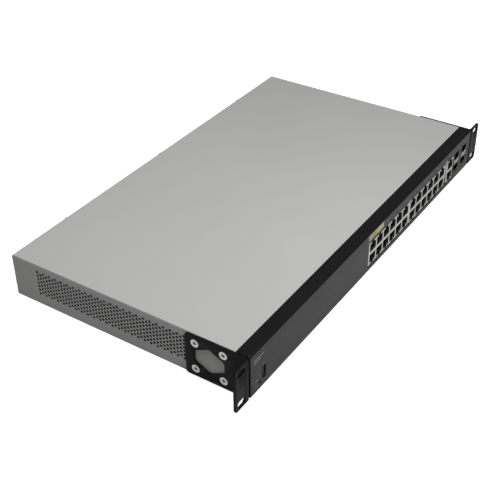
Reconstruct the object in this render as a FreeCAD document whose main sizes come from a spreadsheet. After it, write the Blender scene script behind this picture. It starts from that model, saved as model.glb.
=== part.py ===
import FreeCAD, Part
import math
import os
import re
import Sketcher
from FreeCAD import Placement, Rotation, Vector

# A one-unit rackmount network switch, in millimetres.
# X runs along the front panel (left to right as seen from the front), the front faces -Y, +Z is up.
# The origin is under the middle of the whole object, on the surface that it rests on.

DIMENSIONS = {
    # Case
    "body_width": 440.0,
    "body_depth": 257.0,
    "body_height": 44.0,
    "tray_sheet": 1.0,
    "cover_sheet": 1.0,
    "cover_bend": 1.2,
    "cover_lift": 0.4,
    "lip_height": 8.0,
    "low_wall_height": 9.5,
    "shelf_depth": 12.0,
    "foot_dent_radius": 9.0,
    "foot_dent_depth": 0.5,
    "foot_dent_inset": 32.0,
    "foot_dent_setback": 30.0,
    "slip": 0.15,
    "gap": 0.3,
    # Side vents: staggered columns of round holes
    "vent_radius": 1.45,
    "vent_pitch_along": 3.53,
    "vent_pitch_up": 3.95,
    "vent_columns": 47.0,
    "vent_rows": 7.0,
    "vent_centre_height": 24.3,
    "vent_rear_margin": 29.8,
    # Front bezel
    "bezel_wall": 2.5,
    "bezel_end_gap": 0.5,
    "bezel_lift": 0.5,
    "band_depth": 13.5,
    "band_thickness": 2.0,
    "bezel_top_round": 2.0,
    "bezel_edge_round": 0.8,
    "clip_width": 8.0,
    "clip_thickness": 1.6,
    "clip_hook": 1.2,
    "clip_height": 37.5,
    "clip_spread": 60.0,
    "label_width": 30.4,
    "label_height": 6.2,
    "label_film": 0.15,
    "label_centre": -3.5,
    "label_centre_height": 38.8,
    # Rack ears
    "ear_reach": 21.3,
    "ear_sheet": 2.0,
    "ear_height": 43.0,
    "ear_lift": 0.7,
    "ear_plate_depth": 62.5,
    "ear_corner": 3.0,
    "ear_bend": 3.0,
    "rack_hole_margin": 8.75,
    "rack_hole_rise": 31.75,
    "rack_slot_length": 11.0,
    "rack_slot_width": 6.8,
    "ear_window_half": 15.0,
    "ear_window_rise": 13.3,
    "ear_window_side": 5.9,
    "ear_window_round": 3.5,
    "ear_window_setback": 38.5,
    "ear_screw_spread": 28.0,
    "ear_screw_rise": 27.3,
    # Countersunk ear screws and the nuts pressed into the tray
    "ear_head_radius": 3.9,
    "ear_head_height": 1.8,
    "ear_shank_radius": 2.0,
    "ear_screw_length": 7.0,
    "nut_radius": 3.8,
    "nut_height": 3.0,
    "screw_play": 0.05,
    "hole_play": 0.2,
    # Pan head screws
    "pan_radius": 2.8,
    "pan_height": 1.5,
    "pan_shank_radius": 1.5,
    "pan_length": 4.5,
    "recess_width": 0.7,
    "recess_depth": 0.9,
    "ear_recess_length": 4.0,
    "ear_recess_width": 1.1,
    "ear_recess_depth": 1.4,
    # Main board
    "board_thickness": 1.6,
    "board_depth": 112.0,
    "board_side_gap": 4.0,
    "standoff_height": 3.2,
    "standoff_radius": 3.0,
    # Stacked network jacks
    "jack_pitch": 13.97,
    "jack_middle_rise": 13.0,
    "jack_row_offset": 6.05,
    "jack_cavity_width": 12.2,
    "jack_cavity_height": 8.9,
    "jack_cavity_depth": 13.5,
    "jack_notch_width": 5.4,
    "jack_notch_height": 2.2,
    "jack_block_height": 29.2,
    "jack_block_depth": 26.0,
    "jack_end_wall": 1.35,
    "jack_recess": 0.5,
    "jack_shield_sheet": 0.3,
    "jack_lens_width": 2.2,
    "jack_lens_height": 1.1,
    "jack_lens_offset": 4.6,
    "contact_pitch": 1.02,
    "contact_width": 0.4,
    "contact_thickness": 0.3,
    "contact_length": 10.0,
    "contact_rise": 0.9,
    "block_gap": 0.28,
    "wide_block_gap": 4.605,
    "block_cage_gap": 1.565,
    "window_side_gap": 1.5,
    "window_low_gap": 0.8,
    "window_high_gap": 0.2,
    # Stacked small form factor cages
    "cage_end_margin": 7.2,
    "cage_gap": 4.5,
    "cage_width": 14.2,
    "cage_sheet": 0.3,
    "cage_rise": 3.4,
    "cage_height": 23.8,
    "cage_depth": 48.0,
    "cage_port_width": 13.4,
    "cage_port_height": 8.6,
    "cage_low_port_rise": 5.0,
    "cage_high_port_drop": 4.8,
    "cage_leg": 1.0,
    "host_width": 11.6,
    "host_height": 5.6,
    "host_depth": 7.0,
    "host_slot": 1.4,
    # Upright service socket
    "usb_inset": 20.7,
    "usb_rise": 9.2,
    "usb_width": 5.7,
    "usb_height": 13.2,
    "usb_sheet": 0.35,
    "usb_depth": 14.5,
    "usb_mouth": 9.5,
    "usb_tongue": 1.9,
    # Reset button and status light
    "reset_inset": 14.5,
    "reset_rise": 1.8,
    "reset_radius": 1.1,
    "reset_recess": 1.2,
    "reset_travel": 0.5,
    "reset_stem": 8.0,
    "reset_collar_radius": 1.7,
    "switch_width": 6.0,
    "switch_depth": 5.0,
    "switch_height": 3.8,
    "status_inset": 14.0,
    "status_rise": 8.7,
    "status_radius": 1.0,
    # Chips and heat sinks on the main board
    "chip_size": 31.0,
    "chip_height": 2.6,
    "chip_centre": 62.0,
    "chip_setback": 64.0,
    "sink_size": 44.0,
    "sink_base": 3.0,
    "sink_height": 17.0,
    "fin_thickness": 1.2,
    "fin_count": 11.0,
    "memory_length": 11.0,
    "memory_width": 8.0,
    "memory_height": 1.1,
    "driver_size": 9.0,
    "driver_height": 0.9,
    "small_can_radius": 4.0,
    "small_can_height": 11.0,
    # Power supply
    "supply_side_gap": 11.85,
    "supply_width": 132.0,
    "supply_depth": 106.0,
    "supply_rear_gap": 8.0,
    "supply_standoff_height": 5.0,
    "transformer_length": 36.0,
    "transformer_width": 30.0,
    "transformer_height": 27.0,
    "winding_swell": 1.5,
    "bulk_can_radius": 11.0,
    "bulk_can_height": 30.0,
    "supply_sink_length": 70.0,
    "supply_sink_sheet": 3.0,
    "supply_sink_height": 28.0,
    "choke_ring": 8.0,
    "choke_section": 3.6,
    "filter_can_length": 18.0,
    "filter_can_width": 8.5,
    "filter_can_height": 15.0,
    "header_length": 22.0,
    "header_width": 8.0,
    "header_height": 9.0,
    "fan_header_length": 10.0,
    "fan_header_width": 6.0,
    "fan_header_height": 6.0,
    "lead_radius": 1.1,
    "lead_clearance": 13.0,
    # Mains inlet in the rear wall
    "inlet_inset": 52.0,
    "inlet_centre_height": 20.0,
    "inlet_body_width": 27.0,
    "inlet_body_height": 19.6,
    "inlet_body_depth": 19.0,
    "inlet_flange_width": 49.0,
    "inlet_flange_height": 22.6,
    "inlet_flange": 2.5,
    "inlet_mouth_width": 24.2,
    "inlet_mouth_height": 16.0,
    "inlet_mouth_depth": 17.0,
    "inlet_screw_spacing": 40.0,
    "inlet_pin_width": 2.0,
    "inlet_pin_height": 4.0,
    "inlet_pin_spacing": 7.0,
    "inlet_pin_tail": 6.0,
    "inlet_pin_setback": 2.5,
    "earth_inset": 100.0,
    "earth_centre_height": 14.0,
    "earth_head_height": 2.2,
    "lock_slot_width": 7.0,
    "lock_slot_height": 3.0,
    "lock_slot_inset": 24.0,
    "plate_width": 66.0,
    "plate_height": 26.0,
    "plate_centre": 60.0,
    "plate_centre_height": 19.0,
    # Fans on the right wall
    "fan_size": 40.0,
    "fan_depth": 20.0,
    "fan_ring": 1.25,
    "fan_hole_margin": 4.0,
    "fan_hole_radius": 1.75,
    "fan_hub_radius": 9.4,
    "fan_tip_gap": 1.55,
    "fan_strut": 2.0,
    "fan_hub_plate": 3.0,
    "fan_axle_radius": 1.5,
    "fan_blade_chord": 12.0,
    "fan_blade_thickness": 1.2,
    "fan_blade_pitch": 38.0,
    "fan_blades": 7.0,
    "fan_one_setback": 150.0,
    "fan_gap": 6.0,
    "fan_lead_inset": 3.0,
    "fan_lead_rise": 9.5,
    "fan_lift": 0.5,
}

# Places that follow from the dimensions. Each is a formula of dimensions and of other places.
PLACES = {
    "front": "-(body_depth + pan_height) / 2",
    "rear": "front + body_depth",
    "side": "body_width / 2",
    "roof": "body_height - cover_sheet",
    "tray_side": "side - cover_sheet - slip",
    "tray_inside": "tray_side - tray_sheet",
    "tray_rear": "rear - cover_sheet - slip",
    "tray_rear_inside": "tray_rear - tray_sheet",
    "tray_top": "roof - gap",
    "bezel_back": "front + bezel_wall",
    "band_back": "front + band_depth",
    "band_low": "body_height - band_thickness",
    "bezel_side": "side - bezel_end_gap",
    "cover_front": "band_back + gap",
    "wall_front": "bezel_back + gap",
    "wall_back": "wall_front + tray_sheet",
    "wall_top": "band_low - gap",
    "wall_side": "bezel_side - band_thickness - gap",
    "lip_low": "body_height - lip_height",
    "panel_width": "body_width + 2 * ear_reach",
    "rack_hole_spacing": "panel_width - 2 * rack_hole_margin",
    "ear_outside": "side + ear_sheet",
    "ear_top": "ear_lift + ear_height",
    "ear_middle": "ear_lift + ear_height / 2",
    "ear_plate_rear": "front + ear_plate_depth",
    "ear_screw_middle": "front + ear_window_setback",
    "ear_wall_rear": "ear_plate_rear + gap",
    "vent_first": "rear - vent_rear_margin",
    "board_low": "tray_sheet + standoff_height",
    "board_top": "board_low + board_thickness",
    "board_front": "wall_back + gap",
    "board_rear": "board_front + board_depth",
    "board_side": "tray_inside - board_side_gap",
    "jack_front": "front + jack_recess",
    "jack_back": "jack_front + jack_block_depth",
    "jack_middle": "board_top + jack_middle_rise",
    "jack_top": "board_top + jack_block_height",
    "jack_face": "jack_front + jack_shield_sheet",
    "cavity_back": "jack_face + jack_cavity_depth",
    "window_low": "board_top - window_low_gap",
    "window_high": "jack_top + window_high_gap",
    "cage_back": "jack_front + cage_depth",
    "cage_two_centre": "side - cage_end_margin - cage_width / 2",
    "cage_one_centre": "cage_two_centre - cage_width - cage_gap",
    "cage_bottom": "board_top + cage_rise",
    "cage_top": "cage_bottom + cage_height",
    "cage_low_port": "cage_bottom + cage_low_port_rise",
    "cage_high_port": "cage_top - cage_high_port_drop",
    "block_three_centre":
        "cage_one_centre - cage_width / 2 - block_cage_gap - jack_pitch / 2 - jack_end_wall",
    "block_two_centre": "block_three_centre - 3.5 * jack_pitch - 2 * jack_end_wall - wide_block_gap",
    "block_one_centre": "block_two_centre - 6 * jack_pitch - 2 * jack_end_wall - block_gap",
    "usb_centre": "usb_inset - side",
    "usb_centre_height": "board_top + usb_rise",
    "reset_centre": "reset_inset - side",
    "reset_height": "board_top + reset_rise",
    "status_centre": "status_inset - side",
    "status_height": "board_top + status_rise",
    "inlet_centre": "inlet_inset - side",
    "earth_centre": "earth_inset - side",
    "lock_slot_centre": "side - lock_slot_inset",
    "supply_left": "supply_side_gap - tray_inside",
    "supply_rear": "tray_rear_inside - supply_rear_gap",
    "supply_front": "supply_rear - supply_depth",
    "supply_low": "tray_sheet + supply_standoff_height",
    "supply_top": "supply_low + board_thickness",
    "supply_right": "supply_left + supply_width",
    "fan_back": "tray_inside - fan_depth",
    "fan_header_setback": "board_rear - 3 * fan_header_width",
    "fan_header_top": "board_top + fan_header_height",
    "fan_low": "tray_sheet + fan_lift",
    "fan_middle": "fan_low + fan_size / 2",
    "fan_bore_radius": "fan_size / 2 - fan_ring",
    "fan_hole_spacing": "fan_size - 2 * fan_hole_margin",
    "fan_tip_radius": "fan_bore_radius - fan_tip_gap",
    "fan_one": "front + fan_one_setback",
    "fan_two": "fan_one + fan_size + fan_gap",
    "fan_lead_setback": "fan_size / 2 - fan_lead_inset",
    "fan_lead_height": "fan_low + fan_lead_rise",
    "fan_wall_rear": "fan_two + fan_size / 2 + gap",
}

TURN_FROM_Z = {
    "x": Rotation(Vector(0, 0, 1), Vector(1, 0, 0)),
    "-x": Rotation(Vector(0, 0, 1), Vector(-1, 0, 0)),
    "y": Rotation(Vector(0, 0, 1), Vector(0, 1, 0)),
    "-y": Rotation(Vector(0, 0, 1), Vector(0, -1, 0)),
    "z": Rotation(),
}
SKETCH_PLANES = {"XY": ("XY_Plane", ""), "XZ": ("XZ_Plane", "-"), "YZ": ("YZ_Plane", "")}

document = FreeCAD.newDocument("rack_switch")
sheet = document.addObject("Spreadsheet::Sheet", "dims")
for row, (alias, size) in enumerate(DIMENSIONS.items(), start=1):
    sheet.set("A%d" % row, alias)
    sheet.set("B%d" % row, str(size))
    sheet.setAlias("B%d" % row, alias)
document.recompute()

parts = []


def formula(text):
    """Write a formula of named sizes and places as an expression on the sheet's cells."""
    def cell(match):
        word = match.group()
        if word in PLACES:
            return "(" + formula(PLACES[word]) + ")"
        return "dims." + word
    return re.sub(r"[a-z][a-z_]*", cell, text)


def number(text):
    """Read what a formula comes to."""
    return float(sheet.evalExpression(formula(text)))


def tie(item, prop, text):
    """Bind a property to a formula."""
    item.setExpression(prop, formula(text))


def tie_base(item, x, y, z):
    """Bind where an object stands."""
    tie(item, "Placement.Base.x", x)
    tie(item, "Placement.Base.y", y)
    tie(item, "Placement.Base.z", z)


def keep(item, label):
    """Make an object a sub-part, under the name that its file takes."""
    item.Label = label
    parts.append(item)
    return item


def block(name, x_range, y_range, z_range):
    """A box between two formulas along each axis."""
    item = document.addObject("Part::Box", name)
    tie(item, "Length", "(%s) - (%s)" % (x_range[1], x_range[0]))
    tie(item, "Width", "(%s) - (%s)" % (y_range[1], y_range[0]))
    tie(item, "Height", "(%s) - (%s)" % (z_range[1], z_range[0]))
    tie_base(item, x_range[0], y_range[0], z_range[0])
    return item


def centred(name, centre, size, y_range, z_range):
    """A box set by its middle and size along X, and by its ends along Y and Z."""
    return block(name, ("%s - %s / 2" % (centre, size), "%s + %s / 2" % (centre, size)), y_range, z_range)


def rod(name, axis, start, length, radius):
    """A cylinder from a point given by three formulas, along the named axis."""
    item = document.addObject("Part::Cylinder", name)
    item.Placement = Placement(Vector(), TURN_FROM_Z[axis])
    tie(item, "Radius", radius)
    tie(item, "Height", length)
    tie_base(item, *start)
    return item


def cone(name, axis, start, length, radius_start, radius_end):
    """A cone frustum from a point given by three formulas, along the named axis."""
    item = document.addObject("Part::Cone", name)
    item.Placement = Placement(Vector(), TURN_FROM_Z[axis])
    tie(item, "Radius1", radius_start)
    tie(item, "Radius2", radius_end)
    tie(item, "Height", length)
    tie_base(item, *start)
    return item


def join(name, *items):
    """Fuse objects into one."""
    item = document.addObject("Part::MultiFuse", name)
    item.Shapes = list(items)
    item.Refine = True
    return item


def cut(name, base, *tools):
    """Cut tools that stand clear of each other out of an object."""
    tool = tools[0]
    if len(tools) > 1:
        tool = document.addObject("Part::Compound", name + "_tools")
        tool.Links = list(tools)
    item = document.addObject("Part::Cut", name)
    item.Base = base
    item.Tool = tool
    return item


def copies(name, source, placements):
    """Set copies of one bound shape at places worked out from the sheet."""
    document.recompute()
    shapes = []
    for placement in placements:
        shape = source.Shape.copy()
        shape.Placement = placement.multiply(shape.Placement)
        shapes.append(shape)
    item = document.addObject("Part::Feature", name)
    item.Shape = Part.makeCompound(shapes)
    return item


def at(x, y, z, facing="z"):
    """A placement at three formulas, with the copy's Z turned to face an axis."""
    return Placement(Vector(number(x), number(y), number(z)), TURN_FROM_Z[facing])


def origin_plane(body, role):
    """The body's own origin plane of that role."""
    for item in body.Origin.OriginFeatures:
        if item.Role == role:
            return item
    raise LookupError(role)


def outline(body, name, plane, seat, corners):
    """A closed sketch whose every corner is tied to two formulas, seated along the plane's normal."""
    role, sign = SKETCH_PLANES[plane]
    sketch = body.newObject("Sketcher::SketchObject", name)
    sketch.AttachmentSupport = [(origin_plane(body, role), "")]
    sketch.MapMode = "FlatFace"
    tie(sketch, "AttachmentOffset.Base.z", "%s(%s)" % (sign, seat))
    points = [Vector(number(across), number(up), 0) for across, up in corners]
    count = len(points)
    for index in range(count):
        sketch.addGeometry(Part.LineSegment(points[index], points[(index + 1) % count]), False)
    for index in range(count):
        sketch.addConstraint(Sketcher.Constraint("Coincident", index, 2, (index + 1) % count, 1))
    for index, (across, up) in enumerate(corners):
        for kind, text, place in (("DistanceX", across, points[index].x), ("DistanceY", up, points[index].y)):
            constraint = sketch.addConstraint(Sketcher.Constraint(kind, -1, 1, index, 1, place))
            tie(sketch, "Constraints[%d]" % constraint, text)
    return sketch


def pad(body, name, plane, corners, start, end):
    """Pad an outline between two formulas along the plane's axis."""
    seat = end if SKETCH_PLANES[plane][1] else start
    item = body.newObject("PartDesign::Pad", name)
    item.Profile = outline(body, name + "_outline", plane, seat, corners)
    tie(item, "Length", "(%s) - (%s)" % (end, start))
    return item


def pocket(body, name, plane, corners, start, end):
    """Cut an outline out between two formulas along the plane's axis."""
    seat = start if SKETCH_PLANES[plane][1] else end
    item = body.newObject("PartDesign::Pocket", name)
    item.Profile = outline(body, name + "_outline", plane, seat, corners)
    tie(item, "Length", "(%s) - (%s)" % (end, start))
    return item


def rectangle(low_across, high_across, low_up, high_up):
    """The four corners of a rectangle between formulas."""
    return [(low_across, low_up), (high_across, low_up), (high_across, high_up), (low_across, high_up)]


def round_edges(body, name, radius, wanted):
    """Fillet the edges of the body's last feature that a test picks out."""
    document.recompute()
    base = body.Tip
    names = ["Edge%d" % (index + 1) for index, edge in enumerate(base.Shape.Edges) if wanted(edge)]
    if not names:
        raise ValueError("no edge to round for " + name)
    item = body.newObject("PartDesign::Fillet", name)
    item.Base = (base, names)
    tie(item, "Radius", radius)
    return item


def edge_lies(edge, **places):
    """Whether both ends of an edge lie at the given coordinates."""
    for axis, text in places.items():
        for vertex in edge.Vertexes:
            if abs(getattr(vertex.Point, axis) - number(text)) > 0.001:
                return False
    return True


def chassis_tray():
    """Bottom tray: floor, rear wall, side walls and a front wall with a shelf along its top."""
    body = document.addObject("PartDesign::Body", "tray_body")
    floor = rectangle("-tray_side", "tray_side", "wall_front", "tray_rear")
    pad(body, "tray_floor", "XY", floor, "0", "tray_sheet")
    rear_wall = rectangle("-tray_side", "tray_side", "0", "tray_top")
    pad(body, "tray_rear_wall", "XZ", rear_wall, "tray_rear_inside", "tray_rear")
    front_wall = rectangle("-wall_side", "wall_side", "0", "wall_top")
    pad(body, "tray_front_wall", "XZ", front_wall, "wall_front", "wall_back")
    shelf = rectangle("-wall_side", "wall_side", "wall_front", "wall_front + shelf_depth")
    pad(body, "tray_shelf", "XY", shelf, "wall_top - tray_sheet", "wall_top")
    for name, high_end, inner, outer in (
        ("tray_left_wall", "ear_wall_rear", "-tray_side", "-tray_inside"),
        ("tray_right_wall", "fan_wall_rear", "tray_inside", "tray_side"),
    ):
        side_wall = [
            ("cover_front", "0"), ("tray_rear", "0"), ("tray_rear", "low_wall_height"),
            (high_end, "low_wall_height"), (high_end, "tray_top"), ("cover_front", "tray_top"),
        ]
        pad(body, name, "YZ", side_wall, inner, outer)

    through_front = ("wall_front - gap", "wall_back + gap")
    openings = []
    for name, centre, columns in JACK_BLOCKS:
        half = "(%s * jack_pitch / 2 + jack_end_wall + gap)" % columns
        openings.append(block(
            name + "_wall_opening", ("%s - %s" % (centre, half), "%s + %s" % (centre, half)),
            through_front, ("board_top - gap", "jack_top + gap"),
        ))
    for number_word in ("one", "two"):
        openings.append(centred(
            "cage_%s_wall_opening" % number_word, "cage_%s_centre" % number_word, "(cage_width + 2 * gap)",
            through_front, ("cage_bottom - gap", "cage_top + gap"),
        ))
    openings.append(centred(
        "usb_wall_opening", "usb_centre", "(usb_width + 2 * gap)", through_front,
        ("usb_centre_height - usb_height / 2 - gap", "usb_centre_height + usb_height / 2 + gap"),
    ))
    openings.append(rod(
        "reset_wall_opening", "y", ("reset_centre", "wall_front - gap", "reset_height"),
        "tray_sheet + 2 * gap", "reset_radius + gap",
    ))
    openings.append(rod(
        "status_wall_opening", "y", ("status_centre", "wall_front - gap", "status_height"),
        "tray_sheet + 2 * gap", "status_radius + gap",
    ))
    for index, centre in enumerate(CLIP_CENTRES):
        openings.append(centred(
            "clip_wall_opening_%d" % index, centre, "(clip_width + 2 * gap)", through_front,
            ("clip_height - gap", "clip_height + clip_thickness + clip_hook + gap"),
        ))
    through_rear = ("tray_rear_inside - gap", "tray_rear + gap")
    openings.append(centred(
        "inlet_wall_opening", "inlet_centre", "(inlet_body_width + 2 * gap)", through_rear,
        ("inlet_centre_height - inlet_body_height / 2 - gap",
         "inlet_centre_height + inlet_body_height / 2 + gap"),
    ))
    openings.append(centred(
        "lock_wall_opening", "lock_slot_centre", "lock_slot_width", through_rear,
        ("inlet_centre_height - lock_slot_height / 2", "inlet_centre_height + lock_slot_height / 2"),
    ))
    rear_hole = rod(
        "rear_hole", "y", ("0", "-gap", "0"), "tray_sheet + 2 * gap",
        "pan_shank_radius + screw_play",
    )
    rear_holes = [at(x, "tray_rear_inside", z) for x, z in REAR_SCREWS]
    openings.append(copies("rear_wall_holes", rear_hole, rear_holes))
    nut_hole = rod(
        "nut_hole", "x", ("-gap", "0", "0"), "tray_sheet + 2 * gap",
        "ear_shank_radius + hole_play",
    )
    nut_holes = [at(x, y, z) for x in ("-tray_side", "tray_inside") for y, z in EAR_SCREWS]
    openings.append(copies("nut_wall_holes", nut_hole, nut_holes))
    for name, centre in FANS:
        openings.append(rod(
            name + "_aperture", "x", ("tray_inside - gap", centre, "fan_middle"),
            "tray_sheet + 2 * gap", "fan_bore_radius",
        ))
    fan_hole = rod(
        "fan_wall_hole", "x", ("-gap", "0", "0"), "tray_sheet + 2 * gap",
        "pan_shank_radius + screw_play",
    )
    openings.append(copies("fan_wall_holes", fan_hole, [at("tray_inside", y, z) for y, z in fan_corners()]))
    boss = rod("foot_boss", "z", ("0", "0", "tray_sheet"), "foot_dent_depth", "foot_dent_radius")
    dent = rod(
        "foot_dent", "z", ("0", "0", "-gap"), "foot_dent_depth + gap", "foot_dent_radius - foot_dent_depth"
    )
    feet = [at(x, y, "0") for x, y in FOOT_DENTS]
    openings.append(copies("foot_dents", dent, feet))
    raised = join("tray_raised", body, copies("foot_bosses", boss, feet))
    keep(cut("tray", raised, *openings), "chassis_tray")


def top_cover():
    """Bent steel cover: top, both vented sides down to the floor, and a lip over the rear wall."""
    body = document.addObject("PartDesign::Body", "cover_body")
    hat = [
        ("-side", "cover_lift"), ("-side", "body_height"), ("side", "body_height"), ("side", "cover_lift"),
        ("side - cover_sheet", "cover_lift"), ("side - cover_sheet", "roof"),
        ("-side + cover_sheet", "roof"), ("-side + cover_sheet", "cover_lift"),
    ]
    pad(body, "cover_hat", "XZ", hat, "cover_front", "rear")
    lip = rectangle("-side + cover_sheet", "side - cover_sheet", "lip_low", "roof + cover_sheet / 2")
    pad(body, "cover_lip", "XZ", lip, "rear - cover_sheet", "rear")
    round_edges(
        body, "cover_bends", "cover_bend",
        lambda edge: edge_lies(edge, x="side", z="body_height")
        or edge_lies(edge, x="-side", z="body_height")
        or edge_lies(edge, y="rear", z="body_height"),
    )
    vent = rod(
        "vent_drill", "x", ("-side - gap", "0", "0"), "body_width + 2 * gap", "vent_radius"
    )
    vents = []
    for column in range(int(number("vent_columns"))):
        rows = int(number("vent_rows")) - column % 2
        for row in range(rows):
            along = "vent_first - %d * vent_pitch_along" % column
            up = "vent_centre_height + %s * vent_pitch_up" % (row - (rows - 1) / 2)
            vents.append(at("0", along, up))
    screw_hole = rod(
        "cover_screw_drill", "x", ("-side - gap", "0", "0"), "body_width + 2 * gap",
        "ear_shank_radius + hole_play",
    )
    lip_hole = rod(
        "lip_drill", "y", ("0", "rear - cover_sheet - gap", "0"), "cover_sheet + 2 * gap",
        "pan_shank_radius + hole_play",
    )
    keep(cut(
        "cover", body,
        copies("vents", vent, vents),
        copies("cover_ear_holes", screw_hole, [at("0", y, z) for y, z in EAR_SCREWS]),
        copies("lip_holes", lip_hole, [at(x, "0", z) for x, z in COVER_SCREWS]),
    ), "top_cover")


def front_bezel():
    """Moulded bezel: front face, a band back over the top and both ends, and clips behind it."""
    body = document.addObject("PartDesign::Body", "bezel_body")
    face = rectangle("-bezel_side", "bezel_side", "bezel_lift", "body_height")
    pad(body, "bezel_face", "XZ", face, "front", "bezel_back")
    band = rectangle("-bezel_side", "bezel_side", "band_low", "body_height")
    pad(body, "bezel_band", "XZ", band, "bezel_back", "band_back")
    for name, low, high in (
        ("bezel_left_end", "-bezel_side", "-bezel_side + band_thickness"),
        ("bezel_right_end", "bezel_side - band_thickness", "bezel_side"),
    ):
        end = rectangle(low, high, "tray_sheet + gap", "band_low")
        pad(body, name, "XZ", end, "bezel_back", "band_back")
    for index, centre in enumerate(CLIP_CENTRES):
        low_end = "%s - clip_width / 2" % centre
        high_end = "%s + clip_width / 2" % centre
        arm = rectangle(low_end, high_end, "clip_height", "clip_height + clip_thickness")
        pad(body, "clip_arm_%d" % index, "XZ", arm, "bezel_back", "wall_back + gap + clip_thickness")
        hook = rectangle(low_end, high_end, "clip_height", "clip_height + clip_thickness + clip_hook")
        pad(body, "clip_hook_%d" % index, "XZ", hook, "wall_back + gap", "wall_back + gap + clip_thickness")
    round_edges(
        body, "bezel_top_edge", "bezel_top_round",
        lambda edge: edge_lies(edge, y="front", z="body_height"),
    )
    round_edges(
        body, "bezel_end_edges", "bezel_edge_round",
        lambda edge: edge_lies(edge, y="front", x="bezel_side") or edge_lies(edge, y="front", x="-bezel_side")
        or edge_lies(edge, y="front", z="bezel_lift"),
    )
    through = ("front - gap", "bezel_back + gap")
    tools = [block(
        "port_window",
        ("block_one_centre - 3 * jack_pitch - jack_end_wall - window_side_gap",
         "block_three_centre + jack_pitch / 2 + jack_end_wall + gap"),
        through, ("window_low", "window_high"),
    )]
    for number_word in ("one", "two"):
        tools.append(centred(
            "cage_%s_window" % number_word, "cage_%s_centre" % number_word, "(cage_width + 2 * slip)",
            through, ("cage_bottom - gap", "cage_top + gap"),
        ))
    tools.append(centred(
        "usb_window", "usb_centre", "(usb_width + 2 * slip)", through,
        ("usb_centre_height - usb_height / 2 - slip", "usb_centre_height + usb_height / 2 + slip"),
    ))
    tools.append(rod(
        "reset_window", "y", ("reset_centre", "front - gap", "reset_height"), "bezel_wall + 2 * gap",
        "reset_radius + gap",
    ))
    tools.append(rod(
        "status_window", "y", ("status_centre", "front - gap", "status_height"), "bezel_wall + 2 * gap",
        "status_radius",
    ))
    label = ("front - gap", "front + label_film")
    tools.append(centred(
        "label_recess", "label_centre", "label_width", label,
        ("label_centre_height - label_height / 2", "label_centre_height + label_height / 2"),
    ))
    keep(cut("bezel", body, *tools), "front_bezel")
    film = centred(
        "label", "label_centre", "(label_width - 2 * screw_play)", ("front", "front + label_film"),
        ("label_centre_height - label_height / 2 + screw_play",
         "label_centre_height + label_height / 2 - screw_play"),
    )
    keep(film, "blank_label")


def rack_ears():
    """Bent steel ears: a plate on the case's side and a slotted flange in line with the front."""
    body = document.addObject("PartDesign::Body", "ear_body")
    profile = [
        ("-panel_width / 2", "front"), ("-side", "front"), ("-side", "ear_plate_rear"),
        ("-ear_outside", "ear_plate_rear"), ("-ear_outside", "front + ear_sheet"),
        ("-panel_width / 2", "front + ear_sheet"),
    ]
    pad(body, "ear_sheet_bent", "XY", profile, "ear_lift", "ear_top")
    window = [
        ("ear_screw_middle - ear_window_half", "ear_middle - ear_window_side"),
        ("ear_screw_middle", "ear_middle - ear_window_rise"),
        ("ear_screw_middle + ear_window_half", "ear_middle - ear_window_side"),
        ("ear_screw_middle + ear_window_half", "ear_middle + ear_window_side"),
        ("ear_screw_middle", "ear_middle + ear_window_rise"),
        ("ear_screw_middle - ear_window_half", "ear_middle + ear_window_side"),
    ]
    pocket(body, "ear_window", "YZ", window, "-ear_outside - gap", "-side + gap")
    round_edges(body, "ear_bend_outside", "ear_bend", lambda edge: edge_lies(edge, x="-side", y="front"))
    round_edges(
        body, "ear_bend_inside", "ear_bend - ear_sheet",
        lambda edge: edge_lies(edge, x="-ear_outside", y="front + ear_sheet"),
    )
    round_edges(
        body, "ear_corners", "ear_corner",
        lambda edge: abs(edge.Length - number("ear_sheet")) < 0.001
        and (edge_lies(edge, x="-panel_width / 2") or edge_lies(edge, y="ear_plate_rear")),
    )

    def window_corner(edge):
        """Whether an edge crosses the plate at a corner of its window."""
        across = abs(edge.Vertexes[0].Point.y - number("ear_screw_middle"))
        up = abs(edge.Vertexes[0].Point.z - number("ear_middle"))
        inside = across < number("ear_window_half") + 0.001 and up < number("ear_window_rise") + 0.001
        return inside and abs(edge.Length - number("ear_sheet")) < 0.001

    round_edges(body, "ear_window_corners", "ear_window_round", window_corner)

    slots = []
    for name, up in (("low", "ear_middle - rack_hole_rise / 2"), ("high", "ear_middle + rack_hole_rise / 2")):
        middle = "-rack_hole_spacing / 2"
        reach = "(rack_slot_length - rack_slot_width) / 2"
        across = ("front - gap", "front + ear_sheet + gap")
        ends = [rod(
            "ear_slot_%s_%s" % (name, end), "y", ("%s %s %s" % (middle, sign, reach), across[0], up),
            "ear_sheet + 2 * gap", "rack_slot_width / 2",
        ) for end, sign in (("left", "-"), ("right", "+"))]
        straight = block(
            "ear_slot_" + name, ("%s - %s" % (middle, reach), "%s + %s" % (middle, reach)), across,
            ("%s - rack_slot_width / 2" % up, "%s + rack_slot_width / 2" % up),
        )
        slots.append(join("ear_slot_%s_whole" % name, straight, *ends))
    seat = cone(
        "ear_screw_seat", "x", ("0", "0", "0"), "ear_head_height + hole_play",
        "ear_head_radius + screw_play", "ear_shank_radius + screw_play",
    )
    shank = rod(
        "ear_screw_way", "x", ("0", "0", "0"), "ear_sheet + gap",
        "ear_shank_radius + screw_play",
    )
    drill = join("ear_screw_drill", seat, shank)
    holes = copies("ear_screw_holes", drill, [at("-ear_outside", y, z) for y, z in EAR_SCREWS])
    left = keep(cut("ear_left", body, holes, *slots), "rack_ear_left")
    right = document.addObject("Part::Mirroring", "ear_right")
    right.Source = left
    right.Normal = Vector(1, 0, 0)
    keep(right, "rack_ear_right")


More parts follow.
